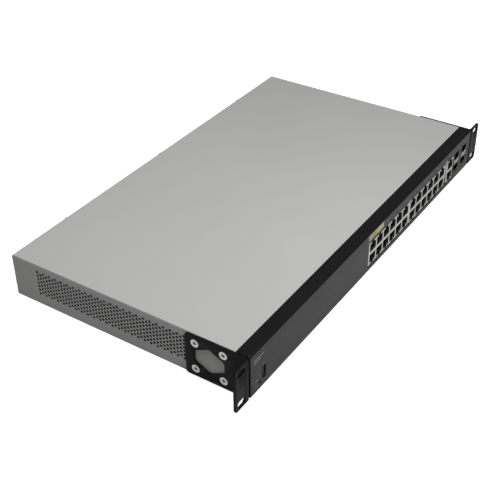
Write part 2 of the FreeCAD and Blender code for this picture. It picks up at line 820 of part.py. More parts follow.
def cross_recess(name, length="pan_radius", width="recess_width", depth="recess_depth"):
    """A cross-shaped tool that points down into a screw's head from the origin."""
    arms = []
    for arm, along, across in (("x", length, width), ("y", width, length)):
        arms.append(block(
            "%s_%s" % (name, arm), ("-%s / 2" % along, "%s / 2" % along),
            ("-%s / 2" % across, "%s / 2" % across), ("-" + depth, "gap"),
        ))
    return join(name, *arms)


def pan_screw(name, length, head_height="pan_height"):
    """A pan head screw with the underside of its head at the origin, pointing down."""
    head = rod(name + "_head", "z", ("0", "0", "0"), head_height, "pan_radius")
    shank = rod(
        name + "_shank", "z", ("0", "0", "-(%s)" % length),
        "%s + %s / 2" % (length, head_height), "pan_shank_radius",
    )
    recess = cross_recess(name + "_recess")
    tie(recess, "Placement.Base.z", head_height)
    return cut(name, join(name + "_blank", head, shank), recess)


def screws():
    """Every set of like screws, and the nuts that the ear screws go into."""
    head = cone(
        "ear_screw_head", "z", ("0", "0", "-ear_head_height"), "ear_head_height",
        "ear_shank_radius", "ear_head_radius",
    )
    shank = rod(
        "ear_screw_shank", "z", ("0", "0", "-ear_screw_length"),
        "ear_screw_length - ear_head_height / 2", "ear_shank_radius",
    )
    recess = cross_recess(
        "ear_screw_recess", "ear_recess_length", "ear_recess_width", "ear_recess_depth"
    )
    ear_screw = cut("ear_screw", join("ear_screw_blank", head, shank), recess)
    places = [at("-ear_outside", y, z, "-x") for y, z in EAR_SCREWS]
    places += [at("ear_outside", y, z, "x") for y, z in EAR_SCREWS]
    keep(copies("ear_screw_set", ear_screw, places), "rack_ear_screws")

    nut_body = rod("nut_blank", "z", ("0", "0", "-nut_height"), "nut_height", "nut_radius")
    nut_bore = rod(
        "nut_bore", "z", ("0", "0", "-nut_height - gap"), "nut_height + 2 * gap",
        "ear_shank_radius + screw_play",
    )
    nut = cut("nut", nut_body, nut_bore)
    places = [at("-tray_inside", y, z, "-x") for y, z in EAR_SCREWS]
    places += [at("tray_inside", y, z, "x") for y, z in EAR_SCREWS]
    keep(copies("nut_set", nut, places), "clinch_nuts")

    cover_screw = pan_screw("cover_screw", "pan_length")
    keep(copies("cover_screw_set", cover_screw, [at(x, "rear", z, "y") for x, z in COVER_SCREWS]),
         "cover_screws")
    inlet_screw = pan_screw("inlet_screw", "inlet_flange + pan_length - pan_height", "recess_depth + gap")
    tie(inlet_screw, "Placement.Base.z", "-recess_depth - gap")
    places = [at(x, "tray_rear + inlet_flange", z, "y") for x, z in INLET_SCREWS]
    keep(copies("inlet_screw_set", inlet_screw, places), "inlet_screws")
    earth_screw = pan_screw("earth_screw_shape", "pan_length", "earth_head_height")
    place = [at("earth_centre", "tray_rear", "earth_centre_height", "y")]
    keep(copies("earth_screw_set", earth_screw, place), "earth_screw")

    board_screw = pan_screw("board_screw", "board_thickness + standoff_height - gap")
    keep(copies("board_screw_set", board_screw, [at(x, y, "board_top") for x, y in BOARD_HOLES]),
         "board_screws")
    keep(copies("supply_screw_set", board_screw, [at(x, y, "supply_top") for x, y in SUPPLY_HOLES]),
         "supply_screws")
    fan_screw = pan_screw("fan_screw", "fan_depth + tray_sheet")
    places = [at("fan_back", y, z, "-x") for y, z in fan_corners()]
    keep(copies("fan_screw_set", fan_screw, places), "fan_screws")


def standoff(name, height):
    """A round spacer with a threaded bore, standing on the tray's floor."""
    outside = rod(name + "_outside", "z", ("0", "0", "tray_sheet"), height, "standoff_radius")
    bore = rod(
        name + "_bore", "z", ("0", "0", "tray_sheet"), height + " + gap",
        "pan_shank_radius + screw_play",
    )
    return cut(name, outside, bore)


def main_board():
    """Main circuit board on its spacers, with the chips and heat sink that it carries."""
    plate = block("board_plate", ("-board_side", "board_side"), ("board_front", "board_rear"),
                  ("board_low", "board_top"))
    drill = rod(
        "board_drill", "z", ("0", "0", "-gap"), "board_thickness + 2 * gap",
        "pan_shank_radius + hole_play",
    )
    holes = copies("board_holes", drill, [at(x, y, "board_low") for x, y in BOARD_HOLES])
    keep(cut("board", plate, holes), "main_board")
    spacer = standoff("board_spacer", "standoff_height")
    keep(copies("board_spacers", spacer, [at(x, y, "0") for x, y in BOARD_HOLES]), "board_standoffs")

    middle = "front + chip_setback"
    chip = centred(
        "chip", "chip_centre", "chip_size", (middle + " - chip_size / 2", middle + " + chip_size / 2"),
        ("board_top", "board_top + chip_height"),
    )
    keep(chip, "switch_chip")
    keep(heat_sink(middle), "chip_heat_sink")
    memory = block(
        "memory_shape", ("-memory_length / 2", "memory_length / 2"),
        ("-memory_width / 2", "memory_width / 2"), ("0", "memory_height"),
    )
    keep(copies("memory_set", memory, [at(x, y, "board_top") for x, y in MEMORY_CHIPS]), "memory_chips")
    driver = block(
        "driver_shape", ("-driver_size / 2", "driver_size / 2"), ("-driver_size / 2", "driver_size / 2"),
        ("0", "driver_height"),
    )
    keep(copies("driver_set", driver, [at(x, y, "board_top") for x, y in DRIVER_CHIPS]), "power_drivers")
    can = rod("small_can", "z", ("0", "0", "0"), "small_can_height", "small_can_radius")
    keep(copies("small_cans", can, [at(x, y, "board_top") for x, y in SMALL_CANS]), "board_capacitors")
    fan_header = block(
        "fan_header_shape", ("-fan_header_length / 2", "fan_header_length / 2"),
        ("-fan_header_width / 2", "fan_header_width / 2"), ("0", "fan_header_height"),
    )
    places = [at(x, "fan_header_setback", "board_top") for x in FAN_HEADERS]
    keep(copies("fan_header_set", fan_header, places), "fan_headers")


def heat_sink(middle):
    """Extruded heat sink: a base plate with one fin padded and then patterned across it."""
    body = document.addObject("PartDesign::Body", "sink_body")
    low = "board_top + chip_height"
    left = "chip_centre - sink_size / 2"
    right = "chip_centre + sink_size / 2"
    span = (middle + " - sink_size / 2", middle + " + sink_size / 2")
    pad(body, "sink_plate", "XZ", rectangle(left, right, low, low + " + sink_base"), *span)
    fin = rectangle(left, left + " + fin_thickness", low, low + " + sink_height")
    pad(body, "sink_fin", "XZ", fin, *span)
    document.recompute()
    pattern = body.newObject("PartDesign::LinearPattern", "sink_fins")
    pattern.Originals = [body.Tip]
    pattern.Direction = (origin_plane(body, "X_Axis"), [""])
    tie(pattern, "Length", "sink_size - fin_thickness")
    tie(pattern, "Occurrences", "fin_count")
    body.Tip = pattern
    return body


def jack_block(name, centre, columns):
    """Two rows of network jacks: moulded housing, folded shield, indicator lenses and contact wires."""
    half = "(%s * jack_pitch / 2 + jack_end_wall)" % columns
    skin = "jack_shield_sheet"
    across = ("%s - %s" % (centre, half), "%s + %s" % (centre, half))
    across_inside = ("%s + %s" % (across[0], skin), "%s - %s" % (across[1], skin))
    cavities = []
    lens_places = []
    contact_places = []
    mouth = "jack_front - gap"
    reach = "(jack_row_offset + jack_cavity_height / 2 + jack_notch_height)"
    for column in range(columns):
        middle = "%s + %s * jack_pitch" % (centre, column - (columns - 1) / 2)
        for row, sign in (("low", "-"), ("high", "+")):
            near = "jack_middle %s (jack_row_offset - jack_cavity_height / 2)" % sign
            far = "jack_middle %s (jack_row_offset + jack_cavity_height / 2)" % sign
            tip = "jack_middle %s %s" % (sign, reach)
            tag = "%s_%s_%d" % (name, row, column)
            up = (near, far) if sign == "+" else (far, near)
            up_notch = (near, tip) if sign == "+" else (tip, near)
            cavities.append(join(
                tag + "_cavity",
                centred(tag + "_mouth", middle, "jack_cavity_width", (mouth, "cavity_back"), up),
                centred(tag + "_notch", middle, "jack_notch_width", (mouth, "cavity_back"), up_notch),
            ))
            lens_middle = "(%s + jack_top) / 2" % tip if sign == "+" else "(%s + %s) / 2" % (far, tip)
            lens_rise = "%s - jack_lens_height / 2" % lens_middle
            for side in ("-", "+"):
                lens_places.append(at("%s %s jack_lens_offset" % (middle, side), "jack_front", lens_rise))
            contact_rise = "%s %s contact_rise - contact_thickness / 2" % (near, sign)
            for wire in range(8):
                along = "%s + %s * contact_pitch" % (middle, wire - 3.5)
                contact_places.append(at(along, "cavity_back", contact_rise))
    lens = block(
        name + "_lens", ("-jack_lens_width / 2", "jack_lens_width / 2"), ("0", skin),
        ("0", "jack_lens_height"),
    )
    lenses = copies(name + "_lens_set", lens, lens_places)
    wire = block(
        name + "_wire", ("-contact_width / 2", "contact_width / 2"), ("-contact_length", "0"),
        ("0", "contact_thickness"),
    )
    wires = copies(name + "_wire_set", wire, contact_places)
    solid = block(
        name + "_solid", across_inside, ("jack_face", "jack_back - " + skin),
        ("board_top", "jack_top - " + skin),
    )
    keep(cut(name + "_housing_shape", solid, *cavities), name + "_housing")
    outside = block(name + "_outside", across, ("jack_front", "jack_back"), ("board_top", "jack_top"))
    inside = block(
        name + "_inside", across_inside, ("jack_face", "jack_back - " + skin),
        ("board_top - gap", "jack_top - " + skin),
    )
    shell = cut(name + "_shell", outside, inside)
    light_slot = block(
        name + "_light_slot", across_inside, (mouth, "jack_face"),
        ("jack_middle + " + reach, "jack_top - " + skin),
    )
    keep(cut(name + "_shield_shape", shell, lenses, light_slot, *cavities), name + "_shield")
    keep(lenses, name + "_lenses")
    keep(wires, name + "_contacts")


def module_cage(name, centre):
    """A stamped cage with two module ports, one over the other, and a host connector behind each."""
    outside = centred(
        name + "_outside", centre, "cage_width", ("jack_front", "cage_back"), ("cage_bottom", "cage_top")
    )
    ports = []
    hosts = []
    for row in ("low", "high"):
        middle = "cage_%s_port" % row
        ports.append(centred(
            "%s_%s_port" % (name, row), centre, "cage_port_width",
            ("jack_front - gap", "cage_back - cage_sheet"),
            (middle + " - cage_port_height / 2", middle + " + cage_port_height / 2"),
        ))
        shell = centred(
            "%s_%s_host" % (name, row), centre, "host_width",
            ("cage_back - cage_sheet - host_depth", "cage_back - cage_sheet"),
            (middle + " - cage_port_height / 2", middle + " - cage_port_height / 2 + host_height"),
        )
        slot = centred(
            "%s_%s_host_slot" % (name, row), centre, "(host_width - 2 * host_slot)",
            ("cage_back - cage_sheet - host_depth - gap", "cage_back - cage_sheet - host_slot"),
            (middle + " - cage_port_height / 2 + host_slot",
             middle + " - cage_port_height / 2 + 2 * host_slot"),
        )
        hosts.append(cut("%s_%s_host_shape" % (name, row), shell, slot))
    middle_void = centred(
        name + "_middle_void", centre, "cage_port_width",
        ("jack_front + 2 * cage_sheet", "cage_back - cage_sheet"),
        ("cage_low_port + cage_port_height / 2 + cage_sheet",
         "cage_high_port - cage_port_height / 2 - cage_sheet"),
    )
    legs = []
    for x_sign in ("-", "+"):
        for y_range in (
            ("board_front + cage_leg", "board_front + 2 * cage_leg"), ("cage_back - cage_leg", "cage_back")
        ):
            edge = "%s %s (cage_width / 2 - cage_leg / 2)" % (centre, x_sign)
            legs.append(centred(
                "%s_leg_%d" % (name, len(legs)), edge, "cage_leg", y_range, ("board_top", "cage_bottom")
            ))
    shell = cut(name + "_shell", outside, middle_void, *ports)
    keep(join(name + "_shape", shell, *legs), name)
    return hosts


def service_socket():
    """Upright universal serial bus socket: folded shell, and an insert with its tongue."""
    low = "usb_centre_height - usb_height / 2"
    high = "usb_centre_height + usb_height / 2"
    back = "(jack_front + usb_depth)"
    outside = centred("usb_outside", "usb_centre", "usb_width", ("jack_front", back), (low, high))
    inside = centred(
        "usb_inside", "usb_centre", "(usb_width - 2 * usb_sheet)", ("jack_front - gap", back + " + gap"),
        (low + " + usb_sheet", high + " - usb_sheet"),
    )
    keep(cut("usb_shell_shape", outside, inside), "usb_shell")
    fill = centred(
        "usb_fill", "usb_centre", "(usb_width - 2 * usb_sheet)", ("jack_front + usb_mouth", back),
        (low + " + usb_sheet", high + " - usb_sheet"),
    )
    tongue = block(
        "usb_tongue_shape",
        ("usb_centre + usb_width / 2 - usb_sheet - 1.3 * usb_tongue",
         "usb_centre + usb_width / 2 - usb_sheet - 0.3 * usb_tongue"),
        ("jack_front + 2 * usb_sheet", "jack_front + usb_mouth"),
        (low + " + 2 * usb_sheet + gap", high + " - 2 * usb_sheet - gap"),
    )
    foot = centred(
        "usb_foot", "usb_centre", "(usb_width - 2 * usb_sheet)", (back, back + " + usb_tongue"),
        ("board_top", high + " - usb_sheet"),
    )
    keep(join("usb_insert_shape", fill, tongue, foot), "usb_insert")


def reset_and_status():
    """Recessed reset button on its switch, and the light pipe beside it."""
    tip = "(front + reset_recess)"
    stem = rod("reset_stem_shape", "y", ("reset_centre", tip, "reset_height"), "reset_stem", "reset_radius")
    collar = rod(
        "reset_collar", "y", ("reset_centre", "wall_back + gap", "reset_height"), "2 * gap",
        "reset_collar_radius",
    )
    keep(join("reset_button_shape", stem, collar), "reset_button")
    near = "(wall_back + 3 * gap + reset_travel + gap)"
    case = centred(
        "switch_case", "reset_centre", "switch_width", (near, near + " + switch_depth"),
        ("board_top", "board_top + switch_height"),
    )
    bore_depth = "%s + reset_stem + reset_travel + gap - %s + gap" % (tip, near)
    bore = rod(
        "switch_bore", "y", ("reset_centre", near + " - gap", "reset_height"), bore_depth,
        "reset_radius + gap",
    )
    keep(cut("switch_shape", case, bore), "reset_switch")
    pipe = rod(
        "status_pipe", "y", ("status_centre", "front + slip", "status_height"),
        "wall_back + switch_depth - front - slip", "status_radius - screw_play",
    )
    post = centred(
        "status_post", "status_centre", "(2 * status_radius)",
        ("wall_back + switch_depth", "wall_back + switch_depth + 2 * status_radius"),
        ("reset_height + reset_collar_radius + gap", "status_height + status_radius"),
    )
    keep(join("status_shape", pipe, post), "status_light_pipe")


def power_supply():
    """Supply board on its spacers with transformer, cans, heat sinks, choke and filter."""
    plate = block(
        "supply_plate", ("supply_left", "supply_right"), ("supply_front", "supply_rear"),
        ("supply_low", "supply_top"),
    )
    drill = rod(
        "supply_drill", "z", ("0", "0", "-gap"), "board_thickness + 2 * gap",
        "pan_shank_radius + hole_play",
    )
    holes = copies("supply_holes", drill, [at(x, y, "supply_low") for x, y in SUPPLY_HOLES])
    keep(cut("supply", plate, holes), "supply_board")
    spacer = standoff("supply_spacer", "supply_standoff_height")
    keep(copies("supply_spacers", spacer, [at(x, y, "0") for x, y in SUPPLY_HOLES]),
         "supply_standoffs")

    middle_x = "(supply_left + 0.5 * supply_width)"
    middle_y = "(supply_front + 0.38 * supply_depth)"
    core_x = (middle_x + " - transformer_length / 2", middle_x + " + transformer_length / 2")
    core_y = (middle_y + " - transformer_width / 2", middle_y + " + transformer_width / 2")
    core_z = ("supply_top", "supply_top + transformer_height")
    core = block("core_solid", core_x, core_y, core_z)
    wall = "transformer_width / 5"
    hollow = block(
        "core_hollow", ("%s + %s" % (core_x[0], wall), "%s - %s" % (core_x[1], wall)),
        (core_y[0] + " - gap", core_y[1] + " + gap"),
        ("%s + %s" % (core_z[0], wall), "%s - %s" % (core_z[1], wall)),
    )
    keep(cut("transformer_core_shape", core, hollow), "transformer_core")
    winding = block(
        "winding_shape",
        ("%s + %s + gap" % (core_x[0], wall), "%s - %s - gap" % (core_x[1], wall)),
        (core_y[0] + " - winding_swell", core_y[1] + " + winding_swell"),
        ("%s + %s" % (core_z[0], wall), "%s - %s" % (core_z[1], wall)),
    )
    keep(winding, "transformer_winding")
    can = rod("bulk_can", "z", ("0", "0", "supply_top"), "bulk_can_height", "bulk_can_radius")
    keep(copies("bulk_cans", can, [at(x, y, "0") for x, y in BULK_CANS]), "bulk_capacitors")
    fin = block(
        "supply_sink_shape", ("-supply_sink_length / 2", "supply_sink_length / 2"),
        ("-supply_sink_sheet / 2", "supply_sink_sheet / 2"),
        ("supply_top", "supply_top + supply_sink_height"),
    )
    keep(copies("supply_sinks", fin, [at(x, y, "0") for x, y in SUPPLY_SINKS]), "supply_heat_sinks")
    ring = document.addObject("Part::Torus", "choke_shape")
    tie(ring, "Radius1", "choke_ring")
    tie(ring, "Radius2", "choke_section")
    tie_base(ring, "supply_left + 0.16 * supply_width", "supply_front + 0.5 * supply_depth",
             "supply_top + choke_section")
    keep(ring, "filter_choke")
    filter_middle = "(supply_left + 0.16 * supply_width)"
    filter_can = centred(
        "filter_can_shape", filter_middle, "filter_can_length",
        ("supply_front + 0.72 * supply_depth", "supply_front + 0.72 * supply_depth + filter_can_width"),
        ("supply_top", "supply_top + filter_can_height"),
    )
    keep(filter_can, "filter_capacitor")
    header = block(
        "header_shape", ("-header_width / 2", "header_width / 2"),
        ("-header_length / 2", "header_length / 2"),
        ("0", "header_height"),
    )
    places = [at(*POWER_HEADERS[0]), at(*POWER_HEADERS[1])]
    keep(copies("header_set", header, places), "power_headers")


def mains_inlet():
    """Three-pin appliance inlet in the rear wall, and the blank rating plate."""
    low = "inlet_centre_height - inlet_%s_height / 2"
    high = "inlet_centre_height + inlet_%s_height / 2"
    outer_face = "tray_rear + inlet_flange"
    body_back = outer_face + " - inlet_body_depth"
    flange = centred(
        "inlet_flange_shape", "inlet_centre", "inlet_flange_width", ("tray_rear", outer_face),
        (low % "flange", high % "flange"),
    )
    body = centred(
        "inlet_body_shape", "inlet_centre", "inlet_body_width", (body_back, outer_face),
        (low % "body", high % "body"),
    )
    mouth = centred(
        "inlet_mouth_shape", "inlet_centre", "inlet_mouth_width",
        (outer_face + " - inlet_mouth_depth", outer_face + " + gap"), (low % "mouth", high % "mouth"),
    )
    seat = rod(
        "inlet_screw_seat", "y", ("0", "-recess_depth - gap - screw_play", "0"),
        "recess_depth + 2 * gap + screw_play", "pan_radius + hole_play",
    )
    way = rod(
        "inlet_screw_way", "y", ("0", "-inlet_flange - gap", "0"), "inlet_flange + gap",
        "pan_shank_radius + screw_play",
    )
    drill = join("inlet_screw_drill", seat, way)
    holes = copies("inlet_screw_holes", drill, [at(x, outer_face, z) for x, z in INLET_SCREWS])
    pin = block(
        "inlet_pin", ("-inlet_pin_width / 2", "inlet_pin_width / 2"),
        (body_back + " - inlet_pin_tail", outer_face + " - inlet_pin_setback"),
        ("-inlet_pin_height / 2", "inlet_pin_height / 2"),
    )
    pins = copies("inlet_pin_set", pin, [at(x, "0", z) for x, z in INLET_PINS])
    shape = join("inlet_blank", flange, body)
    keep(cut("inlet_shape", cut("inlet_hollow", shape, mouth, holes), pins), "mains_inlet")
    keep(pins, "inlet_pins")
    plate = centred(
        "plate_shape", "plate_centre", "plate_width", ("tray_rear", "tray_rear + label_film"),
        ("plate_centre_height - plate_height / 2", "plate_centre_height + plate_height / 2"),
    )
    keep(plate, "rating_plate")


def fan_corners():
    """Heights and setbacks of every fan screw."""
    corners = []
    for name, centre in FANS:
        for y_sign in ("-", "+"):
            for z_sign in ("-", "+"):
                corners.append((
                    "%s %s fan_hole_spacing / 2" % (centre, y_sign),
                    "fan_middle %s fan_hole_spacing / 2" % z_sign,
                ))
    return corners


def fan(name, centre):
    """An axial fan that blows out through the right wall: frame with struts, and bladed rotor."""
    along = ("fan_back", "tray_inside")
    case = block(
        name + "_case", along, (centre + " - fan_size / 2", centre + " + fan_size / 2"),
        ("fan_low", "fan_low + fan_size"),
    )
    bore = rod(
        name + "_bore", "x", ("fan_back - gap", centre, "fan_middle"), "fan_depth + 2 * gap",
        "fan_bore_radius",
    )
    drill = rod(name + "_drill", "x", ("-gap", "0", "0"), "fan_depth + 2 * gap",
                "fan_hole_radius")
    corners = [corner for corner in fan_corners() if corner[0].startswith(centre)]
    holes = copies(name + "_holes", drill, [at("fan_back", y, z) for y, z in corners])
    ring = cut(name + "_ring", case, bore, holes)
    strut_depth = ("fan_back", "fan_back + fan_strut")
    strut_one = block(
        name + "_strut_across", strut_depth,
        (centre + " - fan_bore_radius - gap", centre + " + fan_bore_radius + gap"),
        ("fan_middle - fan_strut / 2", "fan_middle + fan_strut / 2"),
    )
    strut_two = block(
        name + "_strut_up", strut_depth, (centre + " - fan_strut / 2", centre + " + fan_strut / 2"),
        ("fan_middle - fan_bore_radius - gap", "fan_middle + fan_bore_radius + gap"),
    )
    hub_plate = rod(
        name + "_hub_plate", "x", ("fan_back", centre, "fan_middle"), "fan_hub_plate", "fan_hub_radius"
    )
    axle_hole = rod(
        name + "_axle_hole", "x", ("fan_back - gap", centre, "fan_middle"), "fan_hub_plate + 2 * gap",
        "fan_axle_radius + gap",
    )
    frame = join(name + "_whole", ring, strut_one, strut_two, hub_plate)
    keep(cut(name + "_frame_shape", frame, axle_hole), name + "_frame")

    hub_start = "fan_hub_plate + 2 * gap"
    hub = rod(
        name + "_hub", "x", (hub_start, "0", "0"), "fan_depth - fan_hub_plate - 4 * gap",
        "fan_hub_radius",
    )
    axle = rod(name + "_axle", "x", ("gap", "0", "0"), hub_start, "fan_axle_radius")
    blade = block(
        name + "_blade", ("-fan_blade_chord / 2", "fan_blade_chord / 2"),
        ("-fan_blade_thickness / 2", "fan_blade_thickness / 2"),
        ("0.9 * fan_hub_radius", "fan_tip_radius"),
    )
    middle = "(%s + fan_depth - gap) / 2" % hub_start
    count = int(number("fan_blades"))
    placements = []
    for index in range(count):
        round_axle = Rotation(Vector(1, 0, 0), 360.0 * index / count)
        twist = Rotation(Vector(0, 0, 1), number("fan_blade_pitch"))
        placements.append(Placement(Vector(number(middle), 0, 0), round_axle.multiply(twist)))
    rotor = join(name + "_rotor_shape", hub, axle, copies(name + "_blades", blade, placements))
    tie_base(rotor, "fan_back", centre, "fan_middle")
    keep(rotor, name + "_rotor")


def lead_shape(route, radius):
    """A lead along straight runs joined by arcs as large as their shorter run allows."""
    points = [Vector(number(x), number(y), number(z)) for x, y, z in route]
    edges = []
    start = points[0]
    for index in range(1, len(points) - 1):
        back = points[index - 1] - points[index]
        ahead = points[index + 1] - points[index]
        reach = 0.45 * min(back.Length, ahead.Length)
        arc_start = points[index] + back.normalize() * reach
        arc_end = points[index] + ahead.normalize() * reach
        inward = (back + ahead).normalize()
        half_turn = (back.getAngle(ahead)) / 2
        bend = reach * math.tan(half_turn)
        print("lead bend radius %.1f" % bend)
        middle = points[index] + inward * (math.hypot(bend, reach) - bend)
        edges.append(Part.LineSegment(start, arc_start).toShape())
        edges.append(Part.Arc(arc_start, middle, arc_end).toShape())
        start = arc_end
    edges.append(Part.LineSegment(start, points[-1]).toShape())
    path = Part.Wire(edges)
    ring = Part.Wire([Part.Circle(points[0], points[1] - points[0], number(radius)).toShape()])
    return path.makePipeShell([ring], True, False)


def leads():
    """The supply's lead to the main board, and each fan's lead to its header."""
    power = document.addObject("Part::Feature", "power_lead_shape")
    power.Shape = lead_shape(POWER_ROUTE, "lead_radius")
    keep(power, "power_lead")
    fans = document.addObject("Part::Feature", "fan_lead_shapes")
    fans.Shape = Part.makeCompound([lead_shape(route, "lead_radius") for route in FAN_ROUTES])
    keep(fans, "fan_leads")


# Where repeated things stand, as formulas
JACK_BLOCKS = (
    ("port_block_one", "block_one_centre", 6),
    ("port_block_two", "block_two_centre", 6),
    ("port_block_three", "block_three_centre", 1),
)
FANS = (("fan_one", "fan_one"), ("fan_two", "fan_two"))
FOOT_DENTS = [
    (x, y)
    for x in ("foot_dent_inset - side", "side - foot_dent_inset")
    for y in ("front + foot_dent_setback", "rear - foot_dent_setback")
]
CLIP_CENTRES = ("-2.5 * clip_spread", "-clip_spread", "clip_spread", "2.5 * clip_spread")
EAR_SCREWS = [
    ("ear_screw_middle %s ear_screw_spread / 2" % y_sign, "ear_middle %s ear_screw_rise / 2" % z_sign)
    for y_sign in ("-", "+") for z_sign in ("-", "+")
]
COVER_SCREWS = [
    ("%s * body_width / 3" % share, "lip_low + lip_height / 2") for share in ("-1", "0", "1")
]
INLET_SCREWS = [
    ("inlet_centre %s inlet_screw_spacing / 2" % sign, "inlet_centre_height") for sign in ("-", "+")
]
INLET_PINS = [
    ("inlet_centre - inlet_pin_spacing", "inlet_centre_height - 2 * gap"),
    ("inlet_centre", "inlet_centre_height + inlet_pin_height"),
    ("inlet_centre + inlet_pin_spacing", "inlet_centre_height - 2 * gap"),
]
REAR_SCREWS = COVER_SCREWS + INLET_SCREWS + [("earth_centre", "earth_centre_height")]
BOARD_HOLES = [
    ("%s * (board_side - 2 * standoff_radius)" % share, y)
    for share in ("-1", "-0.4", "0.5", "1")
    for y in ("board_rear - 2 * standoff_radius", "board_front + 0.55 * board_depth")
]
SUPPLY_HOLES = [
    (x, y)
    for x in ("supply_left + 2 * standoff_radius", "supply_right - 2 * standoff_radius")
    for y in ("supply_front + 2 * standoff_radius", "supply_rear - 2 * standoff_radius")
]
MEMORY_CHIPS = [
    ("chip_centre - sink_size - %s * memory_length" % share, "front + chip_setback")
    for share in ("0.5", "2", "3.5", "5")
]
DRIVER_CHIPS = [
    ("chip_centre + %s * driver_size" % share, "board_rear - 1.6 * driver_size")
    for share in ("-6", "-3", "0", "3", "6", "9")
]
SMALL_CANS = [
    ("-board_side + %s * small_can_radius" % share, "board_rear - 6 * small_can_radius")
    for share in ("6", "9", "12", "15", "18")
]
BULK_CANS = [
    ("supply_right - %s * bulk_can_radius" % share, "supply_rear - 1.6 * bulk_can_radius")
    for share in ("2.2", "4.6")
]
SUPPLY_SINKS = [
    ("supply_left + 0.5 * supply_width", "supply_front + 0.12 * supply_depth"),
    ("supply_left + 0.55 * supply_width", "supply_front + 0.62 * supply_depth"),
]

POWER_HEADERS = (
    ("supply_right - header_width", "supply_front + 3.5 * header_width", "supply_top"),
    ("supply_right + 3 * header_width", "board_rear - 2.5 * header_width", "board_top"),
)
FAN_HEADERS = ("fan_back - 3 * fan_header_length", "fan_back - 1.5 * fan_header_length")
POWER_ROUTE = (
    (POWER_HEADERS[0][0], POWER_HEADERS[0][1], "supply_top + header_height"),
    (POWER_HEADERS[0][0], POWER_HEADERS[0][1], "supply_top + header_height + lead_clearance"),
    ("supply_right + header_width", "board_rear + header_width",
     "supply_top + header_height + lead_clearance"),
    (POWER_HEADERS[1][0], POWER_HEADERS[1][1], "board_top + header_height + lead_clearance"),
    (POWER_HEADERS[1][0], POWER_HEADERS[1][1], "board_top + header_height"),
)
FAN_ROUTES = (
    (
        ("fan_back", "fan_one - fan_lead_setback", "fan_lead_height"),
        ("fan_back - lead_clearance", "fan_one - fan_lead_setback", "fan_lead_height"),
        (FAN_HEADERS[1], "fan_header_setback", "fan_header_top + lead_clearance"),
        (FAN_HEADERS[1], "fan_header_setback", "fan_header_top"),
    ),
    (
        ("fan_back", "fan_two - fan_lead_setback", "fan_lead_height"),
        ("fan_back - 1.5 * lead_clearance", "fan_two - fan_lead_setback", "fan_lead_height"),
        ("fan_back - 2 * lead_clearance", "fan_one - fan_lead_setback", "fan_lead_height + 2 * lead_radius"),
        (FAN_HEADERS[0], "fan_header_setback", "fan_header_top + lead_clearance"),
        (FAN_HEADERS[0], "fan_header_setback", "fan_header_top"),
    ),
)

chassis_tray()
top_cover()
front_bezel()
rack_ears()
screws()
main_board()
for block_name, block_centre, block_columns in JACK_BLOCKS:
    jack_block(block_name, block_centre, block_columns)
host_shells = module_cage("module_cage_one", "cage_one_centre")
host_shells += module_cage("module_cage_two", "cage_two_centre")
host_group = document.addObject("Part::Compound", "host_group")
host_group.Links = host_shells
keep(host_group, "module_connectors")
service_socket()
reset_and_status()
power_supply()
mains_inlet()
for fan_name, fan_centre in FANS:
    fan(fan_name, fan_centre)
leads()

document.recompute()
for item in document.Objects:
    if "Invalid" in item.State or "Error" in item.State:
        raise RuntimeError("%s failed: %s" % (item.Name, item.State))
labels = [part.Label for part in parts]
if len(set(labels)) != len(labels):
    raise RuntimeError("two sub-parts share a label")
for part in parts:
    if part.Shape.isNull() or not part.Shape.isValid():
        raise RuntimeError("%s has no valid shape" % part.Label)

os.makedirs("parts", exist_ok=True)
for part in parts:
    part.Shape.exportStep("parts/%s.step" % part.Label)
print("%d sub-parts written" % len(parts))
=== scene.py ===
"""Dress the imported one-unit rackmount network switch: finishes, fine detail, floor, lights and camera."""
import logging
import math
import random
from collections.abc import Callable, Iterable
from dataclasses import dataclass, field
from enum import Enum

import bmesh
import bpy
from bmesh.types import BMesh, BMFace, BMVert
from bpy.types import Material, Node, NodeSocket, NodeTree
from mathutils import Matrix, Vector


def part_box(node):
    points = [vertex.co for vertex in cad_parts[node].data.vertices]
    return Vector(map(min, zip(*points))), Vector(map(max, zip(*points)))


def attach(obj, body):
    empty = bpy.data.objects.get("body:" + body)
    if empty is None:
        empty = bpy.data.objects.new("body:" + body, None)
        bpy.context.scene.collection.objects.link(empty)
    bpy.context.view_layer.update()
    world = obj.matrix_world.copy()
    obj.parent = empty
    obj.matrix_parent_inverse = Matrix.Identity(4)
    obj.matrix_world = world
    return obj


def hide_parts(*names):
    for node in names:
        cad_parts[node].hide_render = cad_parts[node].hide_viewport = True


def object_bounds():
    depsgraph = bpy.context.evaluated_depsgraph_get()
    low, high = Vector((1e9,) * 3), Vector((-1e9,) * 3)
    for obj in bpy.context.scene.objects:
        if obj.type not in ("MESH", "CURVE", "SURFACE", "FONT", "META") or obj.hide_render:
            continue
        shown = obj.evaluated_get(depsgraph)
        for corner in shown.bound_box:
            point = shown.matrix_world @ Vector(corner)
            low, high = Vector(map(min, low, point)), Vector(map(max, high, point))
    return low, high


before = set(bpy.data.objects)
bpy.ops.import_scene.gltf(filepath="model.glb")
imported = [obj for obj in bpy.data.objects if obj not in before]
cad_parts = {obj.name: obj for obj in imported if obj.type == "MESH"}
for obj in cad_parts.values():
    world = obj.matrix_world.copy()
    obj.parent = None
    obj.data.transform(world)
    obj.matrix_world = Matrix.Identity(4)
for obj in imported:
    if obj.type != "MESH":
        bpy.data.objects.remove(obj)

LOG = logging.getLogger("rack_switch")
MM = 0.001
CASE = "case"
CAD_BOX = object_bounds()
Colour = tuple[float, float, float]


# ---- Shared surface effects ----

class Effect(Enum):
    """Surface effects that several finishes share, each one a node group."""

    GRAIN = "fine_grain"
    WEAR = "edge_wear"
    CLOUD = "cloudy_tone"
    DUST = "settled_dust"
    BRUSH = "brush_lines"


